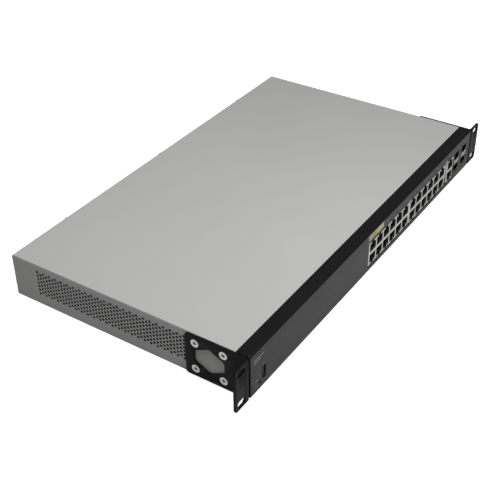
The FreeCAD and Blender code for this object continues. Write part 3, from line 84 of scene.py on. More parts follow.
def add_node(tree: NodeTree, kind: str, settings: dict | None = None, inputs: dict | None = None) -> Node:
    """Add a node, set it up and join its inputs.

    Args:
        tree: The node tree that takes the node.
        kind: The node's type name.
        settings: Attribute values of the node.
        inputs: Input values or the sockets that feed them, by input name or number.

    Returns:
        The new node.
    """
    node = tree.nodes.new(kind)
    for name, value in (settings or {}).items():
        setattr(node, name, value)
    for name, value in (inputs or {}).items():
        if isinstance(value, NodeSocket):
            tree.links.new(value, node.inputs[name])
        else:
            node.inputs[name].default_value = value
    return node


def maths(tree: NodeTree, operation: str, *values: float | NodeSocket, clamp: bool = False) -> NodeSocket:
    """Join numbers or sockets through one Math node."""
    settings = {"operation": operation, "use_clamp": clamp}
    return add_node(tree, "ShaderNodeMath", settings, dict(enumerate(values))).outputs[0]


def mix_colour(tree: NodeTree, factor: float | NodeSocket, first: tuple | NodeSocket,
               second: tuple | NodeSocket) -> NodeSocket:
    """Mix two colours, each given as a colour or a socket."""
    node = add_node(tree, "ShaderNodeMix", {"data_type": "RGBA"}, {0: factor, 6: first, 7: second})
    return node.outputs[2]


def spot(tree: NodeTree) -> NodeSocket:
    """Return the shaded point in its object's coordinates."""
    return add_node(tree, "ShaderNodeTexCoord").outputs["Object"]


def spot_axis(tree: NodeTree, axis: str) -> NodeSocket:
    """Return the shaded point's X, Y or Z."""
    return add_node(tree, "ShaderNodeSeparateXYZ", None, {"Vector": spot(tree)}).outputs[axis]


def ramp(tree: NodeTree, value: NodeSocket, low: float, high: float, top: float = 1.0) -> NodeSocket:
    """Turn low to high into 0 to top."""
    return add_node(tree, "ShaderNodeMapRange", None, {
        "Value": value, "From Min": low, "From Max": high, "To Max": top}).outputs[0]


def noise(tree: NodeTree, scale: NodeSocket, detail: float, roughness: float) -> NodeSocket:
    """Return a noise pattern's value at the shaded point."""
    return add_node(tree, "ShaderNodeTexNoise", None, {
        "Vector": spot(tree), "Scale": scale, "Detail": detail, "Roughness": roughness}).outputs[0]


class EffectGroups:
    """Builds each shared effect's node group once."""

    def __init__(self) -> None:
        """Start with no groups built."""
        self._built: dict[Effect, NodeTree] = {}
        self._recipes: dict[Effect, tuple[Callable[[NodeTree, Node], NodeSocket], tuple[str, ...], str]] = {
            Effect.GRAIN: (self._grain, ("Scale", "Peel"), "Height"),
            Effect.WEAR: (self._wear, ("Radius", "Scale", "Cover"), "Mask"),
            Effect.CLOUD: (self._cloud, ("Scale",), "Tone"),
            Effect.DUST: (self._dust, ("Scale", "Cover"), "Mask"),
            Effect.BRUSH: (self._brush, ("Scale", "Stretch"), "Height"),
        }

    def place(self, tree: NodeTree, effect: Effect, **values: float) -> NodeSocket:
        """Put an effect into a material.

        Args:
            tree: The material's node tree.
            effect: Which effect.
            values: The group's input values, by name.

        Returns:
            The group's output socket.
        """
        inputs = {name.capitalize(): value for name, value in values.items()}
        return add_node(tree, "ShaderNodeGroup", {"node_tree": self._group(effect)}, inputs).outputs[0]

    def _group(self, effect: Effect) -> NodeTree:
        """Return the effect's group, built at its first use.

        Args:
            effect: Which effect.

        Returns:
            The node group.
        """
        if effect not in self._built:
            tree = bpy.data.node_groups.new(effect.value, "ShaderNodeTree")
            maker, given, result = self._recipes[effect]
            for name in given:
                tree.interface.new_socket(name, in_out="INPUT", socket_type="NodeSocketFloat")
            tree.interface.new_socket(result, in_out="OUTPUT", socket_type="NodeSocketFloat")
            made = maker(tree, tree.nodes.new("NodeGroupInput"))
            tree.links.new(made, tree.nodes.new("NodeGroupOutput").inputs[0])
            self._built[effect] = tree
        return self._built[effect]

    @staticmethod
    def _grain(tree: NodeTree, given: Node) -> NodeSocket:
        """Fine powder grain over a slower orange peel.

        Args:
            tree: The group's node tree.
            given: The group's input node.

        Returns:
            The height.
        """
        fine = noise(tree, given.outputs["Scale"], detail=3.0, roughness=0.6)
        slow_scale = maths(tree, "MULTIPLY", given.outputs["Scale"], 0.3)
        slow = add_node(tree, "ShaderNodeTexVoronoi", {"feature": "SMOOTH_F1"}, {
            "Vector": spot(tree), "Scale": slow_scale, "Smoothness": 1.0})
        peel = maths(tree, "MULTIPLY", slow.outputs["Distance"], given.outputs["Peel"])
        return maths(tree, "ADD", fine, peel)

    @staticmethod
    def _wear(tree: NodeTree, given: Node) -> NodeSocket:
        """A broken line of wear where the surface turns sharply.

        Args:
            tree: The group's node tree.
            given: The group's input node.

        Returns:
            The mask.
        """
        geometry = add_node(tree, "ShaderNodeNewGeometry")
        rounded = add_node(tree, "ShaderNodeBevel", {"samples": 4}, {"Radius": given.outputs["Radius"]})
        facing = add_node(tree, "ShaderNodeVectorMath", {"operation": "DOT_PRODUCT"}, {
            0: rounded.outputs["Normal"], 1: geometry.outputs["Normal"]}).outputs["Value"]
        turn = maths(tree, "SUBTRACT", 1.0, facing)
        spots = noise(tree, given.outputs["Scale"], detail=4.0, roughness=0.7)
        edge = maths(tree, "MULTIPLY", turn, 9.0, clamp=True)
        mask = maths(tree, "MULTIPLY", edge, ramp(tree, spots, low=0.45, high=0.72))
        return maths(tree, "MULTIPLY", mask, given.outputs["Cover"], clamp=True)

    @staticmethod
    def _cloud(tree: NodeTree, given: Node) -> NodeSocket:
        """A slow, soft change of tone from 0 to 1."""
        cloud = noise(tree, given.outputs["Scale"], detail=5.0, roughness=0.55)
        return ramp(tree, cloud, low=0.3, high=0.7)

    @staticmethod
    def _dust(tree: NodeTree, given: Node) -> NodeSocket:
        """A thin film on faces that look up.

        Args:
            tree: The group's node tree.
            given: The group's input node.

        Returns:
            The mask.
        """
        normal = add_node(tree, "ShaderNodeNewGeometry").outputs["Normal"]
        up = add_node(tree, "ShaderNodeSeparateXYZ", None, {"Vector": normal}).outputs["Z"]
        speck = noise(tree, given.outputs["Scale"], detail=6.0, roughness=0.75)
        thin = ramp(tree, speck, low=0.42, high=0.8)
        lying = maths(tree, "MULTIPLY", maths(tree, "MAXIMUM", up, 0.0), thin)
        return maths(tree, "MULTIPLY", lying, given.outputs["Cover"], clamp=True)

    @staticmethod
    def _brush(tree: NodeTree, given: Node) -> NodeSocket:
        """Fine lines along X, as rolling or brushing leaves them.

        Args:
            tree: The group's node tree.
            given: The group's input node.

        Returns:
            The height.
        """
        size = add_node(tree, "ShaderNodeCombineXYZ", None, {
            "X": given.outputs["Stretch"], "Y": 1.0, "Z": 1.0}).outputs[0]
        stretched = add_node(tree, "ShaderNodeVectorMath", {"operation": "MULTIPLY"}, {
            0: spot(tree), 1: size}).outputs[0]
        lines = add_node(tree, "ShaderNodeTexNoise", None, {
            "Vector": stretched, "Scale": given.outputs["Scale"], "Detail": 3.0})
        return lines.outputs[0]


EFFECTS = EffectGroups()


# ---- Finishes ----

@dataclass(frozen=True)
class Finish:
    """One surface finish, turned into a material at its first use."""

    name: str
    colour: Colour
    roughness: float
    metallic: float = 0.0
    coat: float = 0.0
    specular: float = 0.5
    tone_range: float = 0.12
    tone_scale: float = 14.0
    patch_ratio: float = 2.5
    roughness_range: float = 0.08
    grain_scale: float = 2500.0
    grain_peel: float = 0.3
    grain_depth: float = 0.00002
    brush_stretch: float = 0.0
    brush_depth: float = 0.00002
    worn_colour: Colour = (0.5, 0.5, 0.5)
    wear_radius: float = 0.0004
    wear_cover: float = 0.0
    wear_scale: float = 160.0
    dust_cover: float = 0.0
    dust_scale: float = 300.0
    dust_colour: Colour = (0.62, 0.6, 0.56)
    transmission: float = 0.0

    def material(self) -> Material:
        """Return this finish's material, built once."""
        known = bpy.data.materials.get("finish_" + self.name)
        return known or self._build()

    def _build(self) -> Material:
        """Build the material's nodes.

        Returns:
            The material.
        """
        material = bpy.data.materials.new("finish_" + self.name)
        material.use_nodes = True
        tree = material.node_tree
        shader = tree.nodes["Principled BSDF"]
        uniform = {"Metallic": self.metallic, "Coat Weight": self.coat, "Coat Roughness": 0.2,
                   "Specular IOR Level": self.specular, "Transmission Weight": self.transmission}
        for name, value in uniform.items():
            shader.inputs[name].default_value = value
        tree.links.new(self._colour_socket(tree), shader.inputs["Base Color"])
        patch = EFFECTS.place(tree, Effect.CLOUD, scale=self.tone_scale * self.patch_ratio)
        rough = maths(tree, "MULTIPLY_ADD", patch, self.roughness_range,
                      self.roughness - self.roughness_range / 2, clamp=True)
        tree.links.new(rough, shader.inputs["Roughness"])
        tree.links.new(self._normal_socket(tree), shader.inputs["Normal"])
        return material

    def _colour_socket(self, tree: NodeTree) -> NodeSocket:
        """Base colour with its slow change of tone, wear and dust.

        Args:
            tree: The material's node tree.

        Returns:
            The colour's socket.
        """
        tone = EFFECTS.place(tree, Effect.CLOUD, scale=self.tone_scale)
        darker = tuple(part * (1.0 - self.tone_range) for part in self.colour)
        colour = mix_colour(tree, tone, (*darker, 1.0), (*self.colour, 1.0))
        colour = self.pattern(tree, colour)
        if self.wear_cover:
            worn = EFFECTS.place(tree, Effect.WEAR, radius=self.wear_radius, scale=self.wear_scale,
                                 cover=self.wear_cover)
            colour = mix_colour(tree, worn, colour, (*self.worn_colour, 1.0))
        if self.dust_cover:
            dust = EFFECTS.place(tree, Effect.DUST, scale=self.dust_scale, cover=self.dust_cover)
            colour = mix_colour(tree, dust, colour, (*self.dust_colour, 1.0))
        return colour

    def _normal_socket(self, tree: NodeTree) -> NodeSocket:
        """Fine relief: grain, or lines where the finish is brushed.

        Args:
            tree: The material's node tree.

        Returns:
            The normal's socket.
        """
        if self.brush_stretch:
            height = EFFECTS.place(tree, Effect.BRUSH, scale=self.grain_scale, stretch=self.brush_stretch)
            depth = self.brush_depth
        else:
            height = EFFECTS.place(tree, Effect.GRAIN, scale=self.grain_scale, peel=self.grain_peel)
            depth = self.grain_depth
        bump = add_node(tree, "ShaderNodeBump", None, {
            "Strength": 1.0, "Distance": depth, "Height": height})
        return bump.outputs["Normal"]

    def pattern(self, tree: NodeTree, colour: NodeSocket) -> NodeSocket:
        """A plain finish has no pattern."""
        return colour


@dataclass(frozen=True)
class BoardFinish(Finish):
    """Solder mask over copper tracks, with tinned pads."""

    track_colour: Colour = (0.05, 0.24, 0.12)
    pad_colour: Colour = (0.62, 0.62, 0.58)
    pad_share: float = 0.16

    def pattern(self, tree: NodeTree, colour: NodeSocket) -> NodeSocket:
        """Lay tracks in runs and pads at their ends.

        Args:
            tree: The material's node tree.
            colour: The colour under the pattern.

        Returns:
            The patterned colour.
        """
        runs = add_node(tree, "ShaderNodeTexBrick", None, {
            "Vector": spot(tree), "Scale": 120.0, "Mortar Size": 0.035, "Brick Width": 1.7,
            "Row Height": 0.16})
        cells = add_node(tree, "ShaderNodeTexVoronoi", {"feature": "F1"}, {
            "Vector": spot(tree), "Scale": 260.0})
        pads = maths(tree, "LESS_THAN", cells.outputs["Distance"], self.pad_share)
        tracks = mix_colour(tree, runs.outputs["Fac"], colour, (*self.track_colour, 1.0))
        return mix_colour(tree, pads, tracks, (*self.pad_colour, 1.0))


@dataclass(frozen=True)
class LabelFinish(Finish):
    """Printed film: a field that turns warmer towards one end, with faint rules across it."""

    warm_colour: Colour = (0.66, 0.6, 0.34)
    rule_colour: Colour = (0.16, 0.2, 0.06)
    start: float = 0.0
    length: float = 0.03

    def pattern(self, tree: NodeTree, colour: NodeSocket) -> NodeSocket:
        """Mix the warmer end in and print the rules.

        Args:
            tree: The material's node tree.
            colour: The colour under the pattern.

        Returns:
            The printed colour.
        """
        from_start = maths(tree, "SUBTRACT", spot_axis(tree, "X"), self.start)
        warm = ramp(tree, maths(tree, "DIVIDE", from_start, self.length), low=0.72, high=0.8)
        ground = mix_colour(tree, warm, colour, (*self.warm_colour, 1.0))
        rules = add_node(tree, "ShaderNodeTexWave", {"bands_direction": "Z"}, {
            "Vector": spot(tree), "Scale": 280.0, "Distortion": 0.0})
        faint = ramp(tree, rules.outputs["Fac"], low=0.7, high=1.0, top=0.12)
        return mix_colour(tree, faint, ground, (*self.rule_colour, 1.0))


@dataclass(frozen=True)
class SheetFinish(Finish):
    """Grey powder paint outside a folded sheet, with painted shade: near black inside it and on its holes'
    walls.
    """

    inner_shade_colour: Colour = (0.012, 0.012, 0.012)
    skin: float = 0.25 * MM
    half_width: float = 0.0
    rear: float = 0.0
    floor: float = 0.0
    top: float = 0.0

    @classmethod
    def over(cls, name: str, node: str, floor: float) -> "SheetFinish":
        """Fit the paint to a node.

        Args:
            name: The finish's name.
            node: The folded sheet's node.
            floor: Height above the sheet's lowest point up to which it is painted.

        Returns:
            The finish.
        """
        low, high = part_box(node)
        skin = cls.skin
        return cls(name, (0.35, 0.348, 0.343), 0.45, specular=0.4, tone_range=0.05, tone_scale=5.0,
                   grain_scale=1900.0, grain_depth=0.000045, grain_peel=0.8, worn_colour=(0.6, 0.6, 0.6),
                   wear_radius=0.0005, wear_cover=0.5, half_width=high[0] - skin, rear=high[1] - skin,
                   floor=low[2] + floor, top=high[2] - skin)

    def pattern(self, tree: NodeTree, colour: NodeSocket) -> NodeSocket:
        """Paint shade, near black, where a point lies inside the painted skin.

        Args:
            tree: The material's node tree.
            colour: The colour under the pattern.

        Returns:
            The colour, with painted shade inside the skin.
        """
        in_shade = maths(tree, "LESS_THAN", maths(tree, "ABSOLUTE", spot_axis(tree, "X")), self.half_width)
        for operation, axis, limit in (("LESS_THAN", "Y", self.rear), ("LESS_THAN", "Z", self.top),
                                       ("GREATER_THAN", "Z", self.floor)):
            in_shade = maths(tree, "MULTIPLY", in_shade, maths(tree, operation, spot_axis(tree, axis), limit))
        return mix_colour(tree, in_shade, colour, (*self.inner_shade_colour, 1.0))


@dataclass(frozen=True)
class PortFinish(Finish):
    """Plated sheet with painted shade that darkens it with depth behind a port's mouth."""

    deep_shade_colour: Colour = (0.006, 0.006, 0.006)
    mouth: float = 0.0
    fade: float = 0.3 * MM

    def pattern(self, tree: NodeTree, colour: NodeSocket) -> NodeSocket:
        """Paint shade along Y, darker from the mouth inwards."""
        depth = ramp(tree, spot_axis(tree, "Y"), self.mouth, self.mouth + self.fade)
        return mix_colour(tree, depth, colour, (*self.deep_shade_colour, 1.0))


# Both sheets take near-black painted shade on their insides and hole walls, and on the tray's front wall.
COVER_PAINT = SheetFinish.over("cover_paint", "top_cover", floor=0.0)
TRAY_PAINT = SheetFinish.over("tray_paint", "chassis_tray", floor=0.8 * MM)
BEZEL_BLACK = Finish("bezel_black", (0.0065, 0.0065, 0.0072), 0.26, specular=0.29, tone_range=0.1,
                     grain_scale=3200.0, grain_depth=0.000016, worn_colour=(0.05, 0.05, 0.05),
                     wear_radius=0.0005, wear_cover=0.35)
EAR_BLACK = Finish("ear_black", (0.0055, 0.0052, 0.0056), 0.38, specular=0.1, tone_range=0.15,
                   grain_scale=1500.0, grain_depth=0.00005, grain_peel=0.9, worn_colour=(0.12, 0.12, 0.12),
                   wear_radius=0.0004, wear_cover=0.6)
# Near-black finish of the blocks in the screws' cross recesses: painted shade.
RECESS_SHADE = Finish("recess_painted_shade", (0.012, 0.011, 0.01), 0.7, specular=0.1)
PRINT_GREY = Finish("print_grey", (0.24, 0.24, 0.24), 0.5)
LABEL_INK = Finish("label_ink", (0.2, 0.22, 0.08), 0.45)
NICKEL = Finish("nickel_plate", (0.86, 0.81, 0.72), 0.24, metallic=1.0, tone_range=0.12, tone_scale=300.0,
                grain_scale=900.0, grain_depth=0.00001)
ZINC = Finish("zinc_plate", (0.6, 0.6, 0.58), 0.36, metallic=1.0, tone_range=0.2, tone_scale=300.0)
BRASS = Finish("plain_brass", (0.72, 0.55, 0.28), 0.3, metallic=1.0, tone_scale=200.0)
GOLD = Finish("contact_gold", (0.9, 0.66, 0.28), 0.22, metallic=1.0, tone_scale=400.0)
SHIELD = Finish("shield_tin", (0.86, 0.85, 0.82), 0.3, metallic=0.85, tone_range=0.16, tone_scale=90.0,
                grain_scale=1300.0, grain_depth=0.000014, wear_cover=0.3, worn_colour=(0.9, 0.89, 0.86),
                wear_radius=0.0002)
USB_PLATE = Finish("usb_plate", (0.12, 0.115, 0.11), 0.32, metallic=0.9, tone_range=0.2, tone_scale=120.0)
JACK_BLACK = Finish("jack_black", (0.012, 0.012, 0.012), 0.38, tone_scale=80.0)
SOCKET_DARK = Finish("socket_dark", (0.03, 0.03, 0.032), 0.42, tone_scale=80.0)
LENS_CLEAR = Finish("lens_clear", (0.1, 0.13, 0.07), 0.15, tone_scale=200.0)
PIPE_CLEAR = Finish("pipe_clear", (0.5, 0.56, 0.5), 0.16, transmission=0.4, tone_scale=200.0)
BOARD_GREEN = BoardFinish("board_green", (0.012, 0.11, 0.05), 0.3, coat=0.3, grain_depth=0.000006)
# The cages and their springs turn near black just inside the mouth: painted shade.
CAGE_PLATE = PortFinish("cage_plate", (0.64, 0.61, 0.56), 0.3, metallic=0.9, tone_range=0.2, tone_scale=120.0,
                        brush_stretch=0.1, grain_scale=1600.0, brush_depth=0.000012,
                        mouth=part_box("module_cage_one")[0][1] + 0.15 * MM)
CHIP_BLACK = Finish("chip_black", (0.02, 0.02, 0.021), 0.5, tone_scale=90.0, grain_scale=3000.0)
SINK_METAL = Finish("sink_metal", (0.56, 0.57, 0.58), 0.38, metallic=1.0, brush_stretch=0.05,
                    grain_scale=1200.0, brush_depth=0.00002)
CAN_SLEEVE = Finish("can_sleeve", (0.03, 0.035, 0.06), 0.32, tone_scale=120.0)
CAN_METAL = Finish("can_metal", (0.66, 0.66, 0.67), 0.3, metallic=1.0, tone_scale=120.0)
IVORY = Finish("ivory_nylon", (0.62, 0.59, 0.48), 0.42, tone_scale=120.0)
FERRITE = Finish("ferrite_grey", (0.05, 0.05, 0.055), 0.55, tone_scale=90.0, grain_depth=0.00006)
TAPE_YELLOW = Finish("tape_yellow", (0.62, 0.44, 0.06), 0.34, tone_scale=60.0, brush_stretch=0.06,
                     grain_scale=900.0, brush_depth=0.00004)
FILM_YELLOW = Finish("film_yellow", (0.52, 0.36, 0.04), 0.3, tone_scale=90.0)
COPPER = Finish("enamel_copper", (0.62, 0.25, 0.1), 0.28, metallic=1.0, tone_scale=300.0)
INLET_BLACK = Finish("inlet_black", (0.02, 0.02, 0.02), 0.42, tone_scale=60.0, grain_depth=0.00003,
                     wear_cover=0.2, worn_colour=(0.09, 0.09, 0.09))
PLATE_SILVER = Finish("plate_silver", (0.55, 0.55, 0.54), 0.36, metallic=0.4, tone_scale=40.0)
FAN_BLACK = Finish("fan_black", (0.018, 0.018, 0.018), 0.46, tone_scale=60.0, grain_depth=0.00003,
                   dust_cover=0.25)
LEAD_BLACK = Finish("lead_black", (0.02, 0.02, 0.02), 0.36, tone_scale=90.0)


# ---- Mesh work ----

@dataclass
class Box:
    """A node's box in metres, with its size and middle."""

    low: Vector
    high: Vector

    @classmethod
    def of(cls, node: str) -> "Box":
        """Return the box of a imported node."""
        low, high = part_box(node)
        return cls(Vector(low), Vector(high))

    @property
    def middle(self) -> Vector:
        """The box's middle."""
        return (self.low + self.high) / 2

    @property
    def size(self) -> Vector:
        """The box's size along each axis."""
        return self.high - self.low


def solid_parts(mesh: BMesh) -> list[list[BMVert]]:
    """Split a bmesh into the vertices of each separate solid.

    Args:
        mesh: The bmesh.

    Returns:
        A list of vertices for each solid.
    """
    left = set(mesh.verts)
    parts = []
    while left:
        reached = [left.pop()]
        part = []
        while reached:
            vertex = reached.pop()
            part.append(vertex)
            for edge in vertex.link_edges:
                other = edge.other_vert(vertex)
                if other in left:
                    left.remove(other)
                    reached.append(other)
        parts.append(part)
    return parts


def part_boxes(node: str) -> list[Box]:
    """Return the box of each separate solid of a node, in order along X, then Y, then Z.

    Args:
        node: The node's name.

    Returns:
        The boxes.
    """
    mesh = merged_copy(node)
    boxes = []
    for part in solid_parts(mesh):
        low = Vector([min(vertex.co[axis] for vertex in part) for axis in range(3)])
        high = Vector([max(vertex.co[axis] for vertex in part) for axis in range(3)])
        boxes.append(Box(low, high))
    mesh.free()
    return sorted(boxes, key=lambda box: tuple(round(value, 5) for value in box.middle))


def merged_copy(node: str) -> BMesh:
    """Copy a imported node's mesh, joined at its corners, with flat faces made whole.

    Args:
        node: The node's name.

    Returns:
        The copy as a bmesh.
    """
    mesh = bmesh.new()
    mesh.from_mesh(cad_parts[node].data)
    bmesh.ops.remove_doubles(mesh, verts=mesh.verts, dist=0.000001)
    bmesh.ops.dissolve_limit(mesh, angle_limit=math.radians(0.5), verts=mesh.verts, edges=mesh.edges)
    return mesh


def ease_edges(mesh: BMesh, width: float, segments: int = 2, least_turn: float = 38.0) -> None:
    """Round the sharp edges of a mesh.

    Args:
        mesh: The bmesh.
        width: The rounding's width in metres.
        segments: How many faces go round it.
        least_turn: The turn in degrees from which an edge counts as sharp.
    """
    limit = math.radians(least_turn)
    sharp = [edge for edge in mesh.edges if edge.is_manifold and edge.calc_face_angle() > limit]
    bmesh.ops.bevel(mesh, geom=sharp, offset=width, offset_type="OFFSET", segments=segments, profile=0.5,
                    affect="EDGES", clamp_overlap=True, material=-1)


def add_block(mesh: BMesh, low: Iterable[float], high: Iterable[float]) -> None:
    """Add a box between its lowest and highest corner.

    Args:
        mesh: The bmesh that takes it.
        low: The lowest corner.
        high: The highest corner.
    """
    low, high = Vector(low), Vector(high)
    place = Matrix.Translation((low + high) / 2) @ Matrix.Diagonal((*(high - low), 1.0))
    bmesh.ops.create_cube(mesh, size=1.0, matrix=place)


def turned(profile: list[tuple[float, float]], steps: int) -> BMesh:
    """Turn a profile about Z.

    Args:
        profile: Points of radius and height, from the axis to the axis.
        steps: How many steps go round.

    Returns:
        The turned shape as a bmesh.
    """
    mesh = bmesh.new()
    points = [mesh.verts.new((radius, 0.0, height)) for radius, height in profile]
    edges = [mesh.edges.new(pair) for pair in zip(points, points[1:])]
    bmesh.ops.spin(mesh, geom=points + edges, cent=(0, 0, 0), axis=(0, 0, 1), angle=math.tau, steps=steps,
                   use_merge=True, use_duplicate=False)
    bmesh.ops.remove_doubles(mesh, verts=mesh.verts, dist=0.0000005)
    return mesh


def publish(mesh: BMesh, name: str, finish: Finish, body: str = CASE,
            replaces: Iterable[str] = (), turn_faces: bool = False) -> None:
    """Make a bmesh a finished piece.

    Args:
        mesh: The bmesh, which is used up.
        name: The piece's name.
        finish: Its finish.
        body: The body that it rides on.
        replaces: The nodes that it stands for.
        turn_faces: Whether its faces are turned outwards first.
    """
    if turn_faces:
        bmesh.ops.recalc_face_normals(mesh, faces=mesh.faces)
    data = bpy.data.meshes.new(name)
    mesh.to_mesh(data)
    mesh.free()
    data.shade_smooth()
    data.set_sharp_from_angle(angle=math.radians(32))
    data.materials.append(finish.material())
    piece = bpy.data.objects.new(name, data)
    bpy.context.collection.objects.link(piece)
    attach(piece, body)
    if replaces:
        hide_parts(*replaces)
    LOG.info("%s: %d faces", name, len(data.polygons))


def dress(node: str, finish: Finish) -> None:
    """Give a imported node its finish.

    Args:
        node: The node's name.
        finish: Its finish.
    """
    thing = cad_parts[node]
    if not thing.material_slots:
        thing.data.materials.append(finish.material())
    for place in thing.material_slots:
        place.material = finish.material()
    LOG.info("%s: %s", node, finish.name)


def eased_skin(node: str, finish: Finish, width: float, body: str = CASE,
               segments: int = 2) -> None:
    """Stand a copy of a node, its edges rounded to a width, in for it.

    Args:
        node: The node's name.
        finish: Its finish.
        width: The rounding's width in metres.
        body: The body that it rides on.
        segments: How many faces go round each edge.
    """
    mesh = merged_copy(node)
    ease_edges(mesh, width, segments)
    publish(mesh, node + "_skin", finish, body, (node,))


def drawn_strip(mesh: BMesh, width: float, thickness: float, route: list[Vector]) -> None:
    """Draw a flat strip along a route that runs mostly along Y.

    Args:
        mesh: The bmesh that takes the strip.
        width: The strip's width along X.
        thickness: Its thickness.
        route: The middle line's points.
    """
    place = (Matrix.Translation(route[0]) @ Matrix.Rotation(math.radians(90), 4, "X")
             @ Matrix.Diagonal((width, thickness, 1.0, 1.0)))
    verts = bmesh.ops.create_grid(mesh, x_segments=1, y_segments=1, size=0.5, matrix=place)["verts"]
    faces = list({face for vertex in verts for face in vertex.link_faces})
    for before, after in zip(route, route[1:]):
        grown = bmesh.ops.extrude_face_region(mesh, geom=faces, use_keep_orig=before is route[0])["geom"]
        faces = [item for item in grown if isinstance(item, BMFace)]
        moved = [item for item in grown if isinstance(item, BMVert)]
        bmesh.ops.translate(mesh, verts=moved, vec=after - before)


# ---- The case ----

@dataclass
class CaseSheets:
    """Folded tray and cover, with what fastens them."""

    edge: float = 0.25 * MM
    screw_edge: float = 0.3 * MM
    nut_edge: float = 0.2 * MM

    def build(self) -> None:
        """Dress the sheets and round their fasteners."""
        dress("top_cover", COVER_PAINT)
        eased_skin("chassis_tray", TRAY_PAINT, self.edge)
        eased_skin("cover_screws", NICKEL, self.screw_edge)
        eased_skin("clinch_nuts", ZINC, self.nut_edge)
        eased_skin("earth_screw", BRASS, self.screw_edge)


@dataclass
class RackEars:
    """Bent ears with their countersunk screws."""

    edge: float = 0.3 * MM
    screw_edge: float = 0.12 * MM
    recess_half_length: float = 1.9 * MM
    recess_half_width: float = 0.5 * MM
    recess_shallow: float = 0.6 * MM
    recess_deep: float = 1.35 * MM

    def build(self) -> None:
        """Round the sheet's edges and the screws."""
        for side in ("left", "right"):
            eased_skin("rack_ear_" + side, EAR_BLACK, self.edge)
        eased_skin("rack_ear_screws", NICKEL, self.screw_edge)
        self._recesses()

    def _recesses(self) -> None:
        """Set a near-black block deep in each screw's cross recess: painted shade."""
        mesh = bmesh.new()
        for screw in part_boxes("rack_ear_screws"):
            outwards = math.copysign(1.0, screw.middle.x)
            head = screw.high.x if outwards > 0 else screw.low.x
            ends = sorted((head - outwards * self.recess_shallow, head - outwards * self.recess_deep))
            for half_y, half_z in ((self.recess_half_length, self.recess_half_width),
                                   (self.recess_half_width, self.recess_half_length)):
                add_block(mesh, (ends[0], screw.middle.y - half_y, screw.middle.z - half_z),
                          (ends[1], screw.middle.y + half_y, screw.middle.z + half_z))
        publish(mesh, "rack_ear_screw_recess_shade", RECESS_SHADE)


@dataclass
class Bezel:
    """Moulded front with plain printed marks and a label field."""

    proud: float = 0.01 * MM
    film: float = 0.1 * MM
    number_rise: float = 36.8 * MM
    number_height: float = 1.4 * MM
    number_width: float = 1.2 * MM
    number_gap: float = 0.7 * MM
    caption_gap: float = 1.2 * MM
    caption_height: float = 1.0 * MM
    socket_caption: float = 3.2 * MM
    status_caption: float = 4.4 * MM
    status_height: float = 1.2 * MM
    reset_caption: float = 4.0 * MM
    reset_drop: float = 1.8 * MM
    rule_left: float = -193 * MM
    rule_length: float = 70 * MM
    rule_rise: float = 2.6 * MM
    rule_height: float = 0.3 * MM
    name_left: float = -214.5 * MM
    name_rise: float = 34.6 * MM
    name_pitch: float = 2.6 * MM
    name_height: float = 1.5 * MM
    name_lengths: tuple[float, ...] = (15.0 * MM, 10.0 * MM)
    label_margin: float = 1.2 * MM
    label_top: float = 1.5 * MM
    label_pitch: float = 1.7 * MM
    label_gap: float = 1.0 * MM
    label_bar: float = 0.8 * MM
    label_rows: tuple[tuple[float, ...], ...] = ((4.5, 7.0, 3.0), (9.0, 4.0), (6.0, 2.5, 5.0))

    def build(self) -> None:
        """Dress the bezel, print on it and lay the label."""
        dress("front_bezel", BEZEL_BLACK)
        self._print_marks()
        self._label()

    def _bar(self, mesh: BMesh, left: float, low: float, width: float, height: float) -> None:
        """Print one bar from its lower left corner.

        Args:
            mesh: The bmesh that takes it.
            left: Its left edge.
            low: Its lower edge.
            width: Its width.
            height: Its height.
        """
        front = Box.of("front_bezel").low.y
        add_block(mesh, (left, front - self.proud, low), (left + width, front + self.film, low + height))

    def _print_marks(self) -> None:
        """Print a tick for each port, a rule, and plain bars for the captions."""
        mesh = bmesh.new()
        for block in ("one", "two", "three"):
            for column in lens_columns(block):
                for left in (column - self.number_gap - self.number_width, column + self.number_gap):
                    self._bar(mesh, left, self.number_rise, self.number_width, self.number_height)
        for cage in ("one", "two"):
            middle = Box.of("module_cage_" + cage).middle.x
            self._bar(mesh, middle - self.number_width, self.number_rise, 2 * self.number_width,
                      self.number_height)
        socket = Box.of("usb_shell")
        self._bar(mesh, socket.middle.x - self.socket_caption / 2, socket.high.z + self.caption_gap,
                  self.socket_caption, self.caption_height)
        status = Box.of("status_light_pipe")
        self._bar(mesh, status.low.x - self.caption_gap - self.status_caption,
                  status.middle.z - self.status_height / 2, self.status_caption, self.status_height)
        button = Box.of("reset_button")
        self._bar(mesh, button.low.x - self.caption_gap - self.reset_caption,
                  button.middle.z - self.reset_drop, self.reset_caption, self.caption_height)
        self._bar(mesh, self.rule_left, Box.of("front_bezel").low.z + self.rule_rise, self.rule_length,
                  self.rule_height)
        for row, length in enumerate(self.name_lengths):
            self._bar(mesh, self.name_left, self.name_rise - row * self.name_pitch, length, self.name_height)
        publish(mesh, "bezel_print", PRINT_GREY)

    def _label(self) -> None:
        """Dress the label and print plain bars on it."""
        label = Box.of("blank_label")
        finish = LabelFinish("label_print", (0.69, 0.73, 0.28), 0.42, start=label.low.x, length=label.size.x,
                             tone_range=0.08, tone_scale=60.0)
        dress("blank_label", finish)
        mesh = bmesh.new()
        for row, lengths in enumerate(self.label_rows):
            left = label.low.x + self.label_margin
            low = label.high.z - self.label_top - row * self.label_pitch
            for length in lengths:
                add_block(mesh, (left, label.low.y - self.proud, low),
                          (left + length * MM, label.low.y + self.film, low + self.label_bar))
                left += length * MM + self.label_gap
        publish(mesh, "label_bars", LABEL_INK)


# ---- Ports ----

def lens_columns(block: str) -> list[float]:
    """Return the X of each jack column, midway between its indicator lenses.

    Args:
        block: The block's number word.

    Returns:
        The columns' X, in order.
    """
    boxes = part_boxes("port_block_%s_lenses" % block)
    places = sorted({round(box.middle.x, 6) for box in boxes})
    return [(left + right) / 2 for left, right in zip(places[::2], places[1::2])]


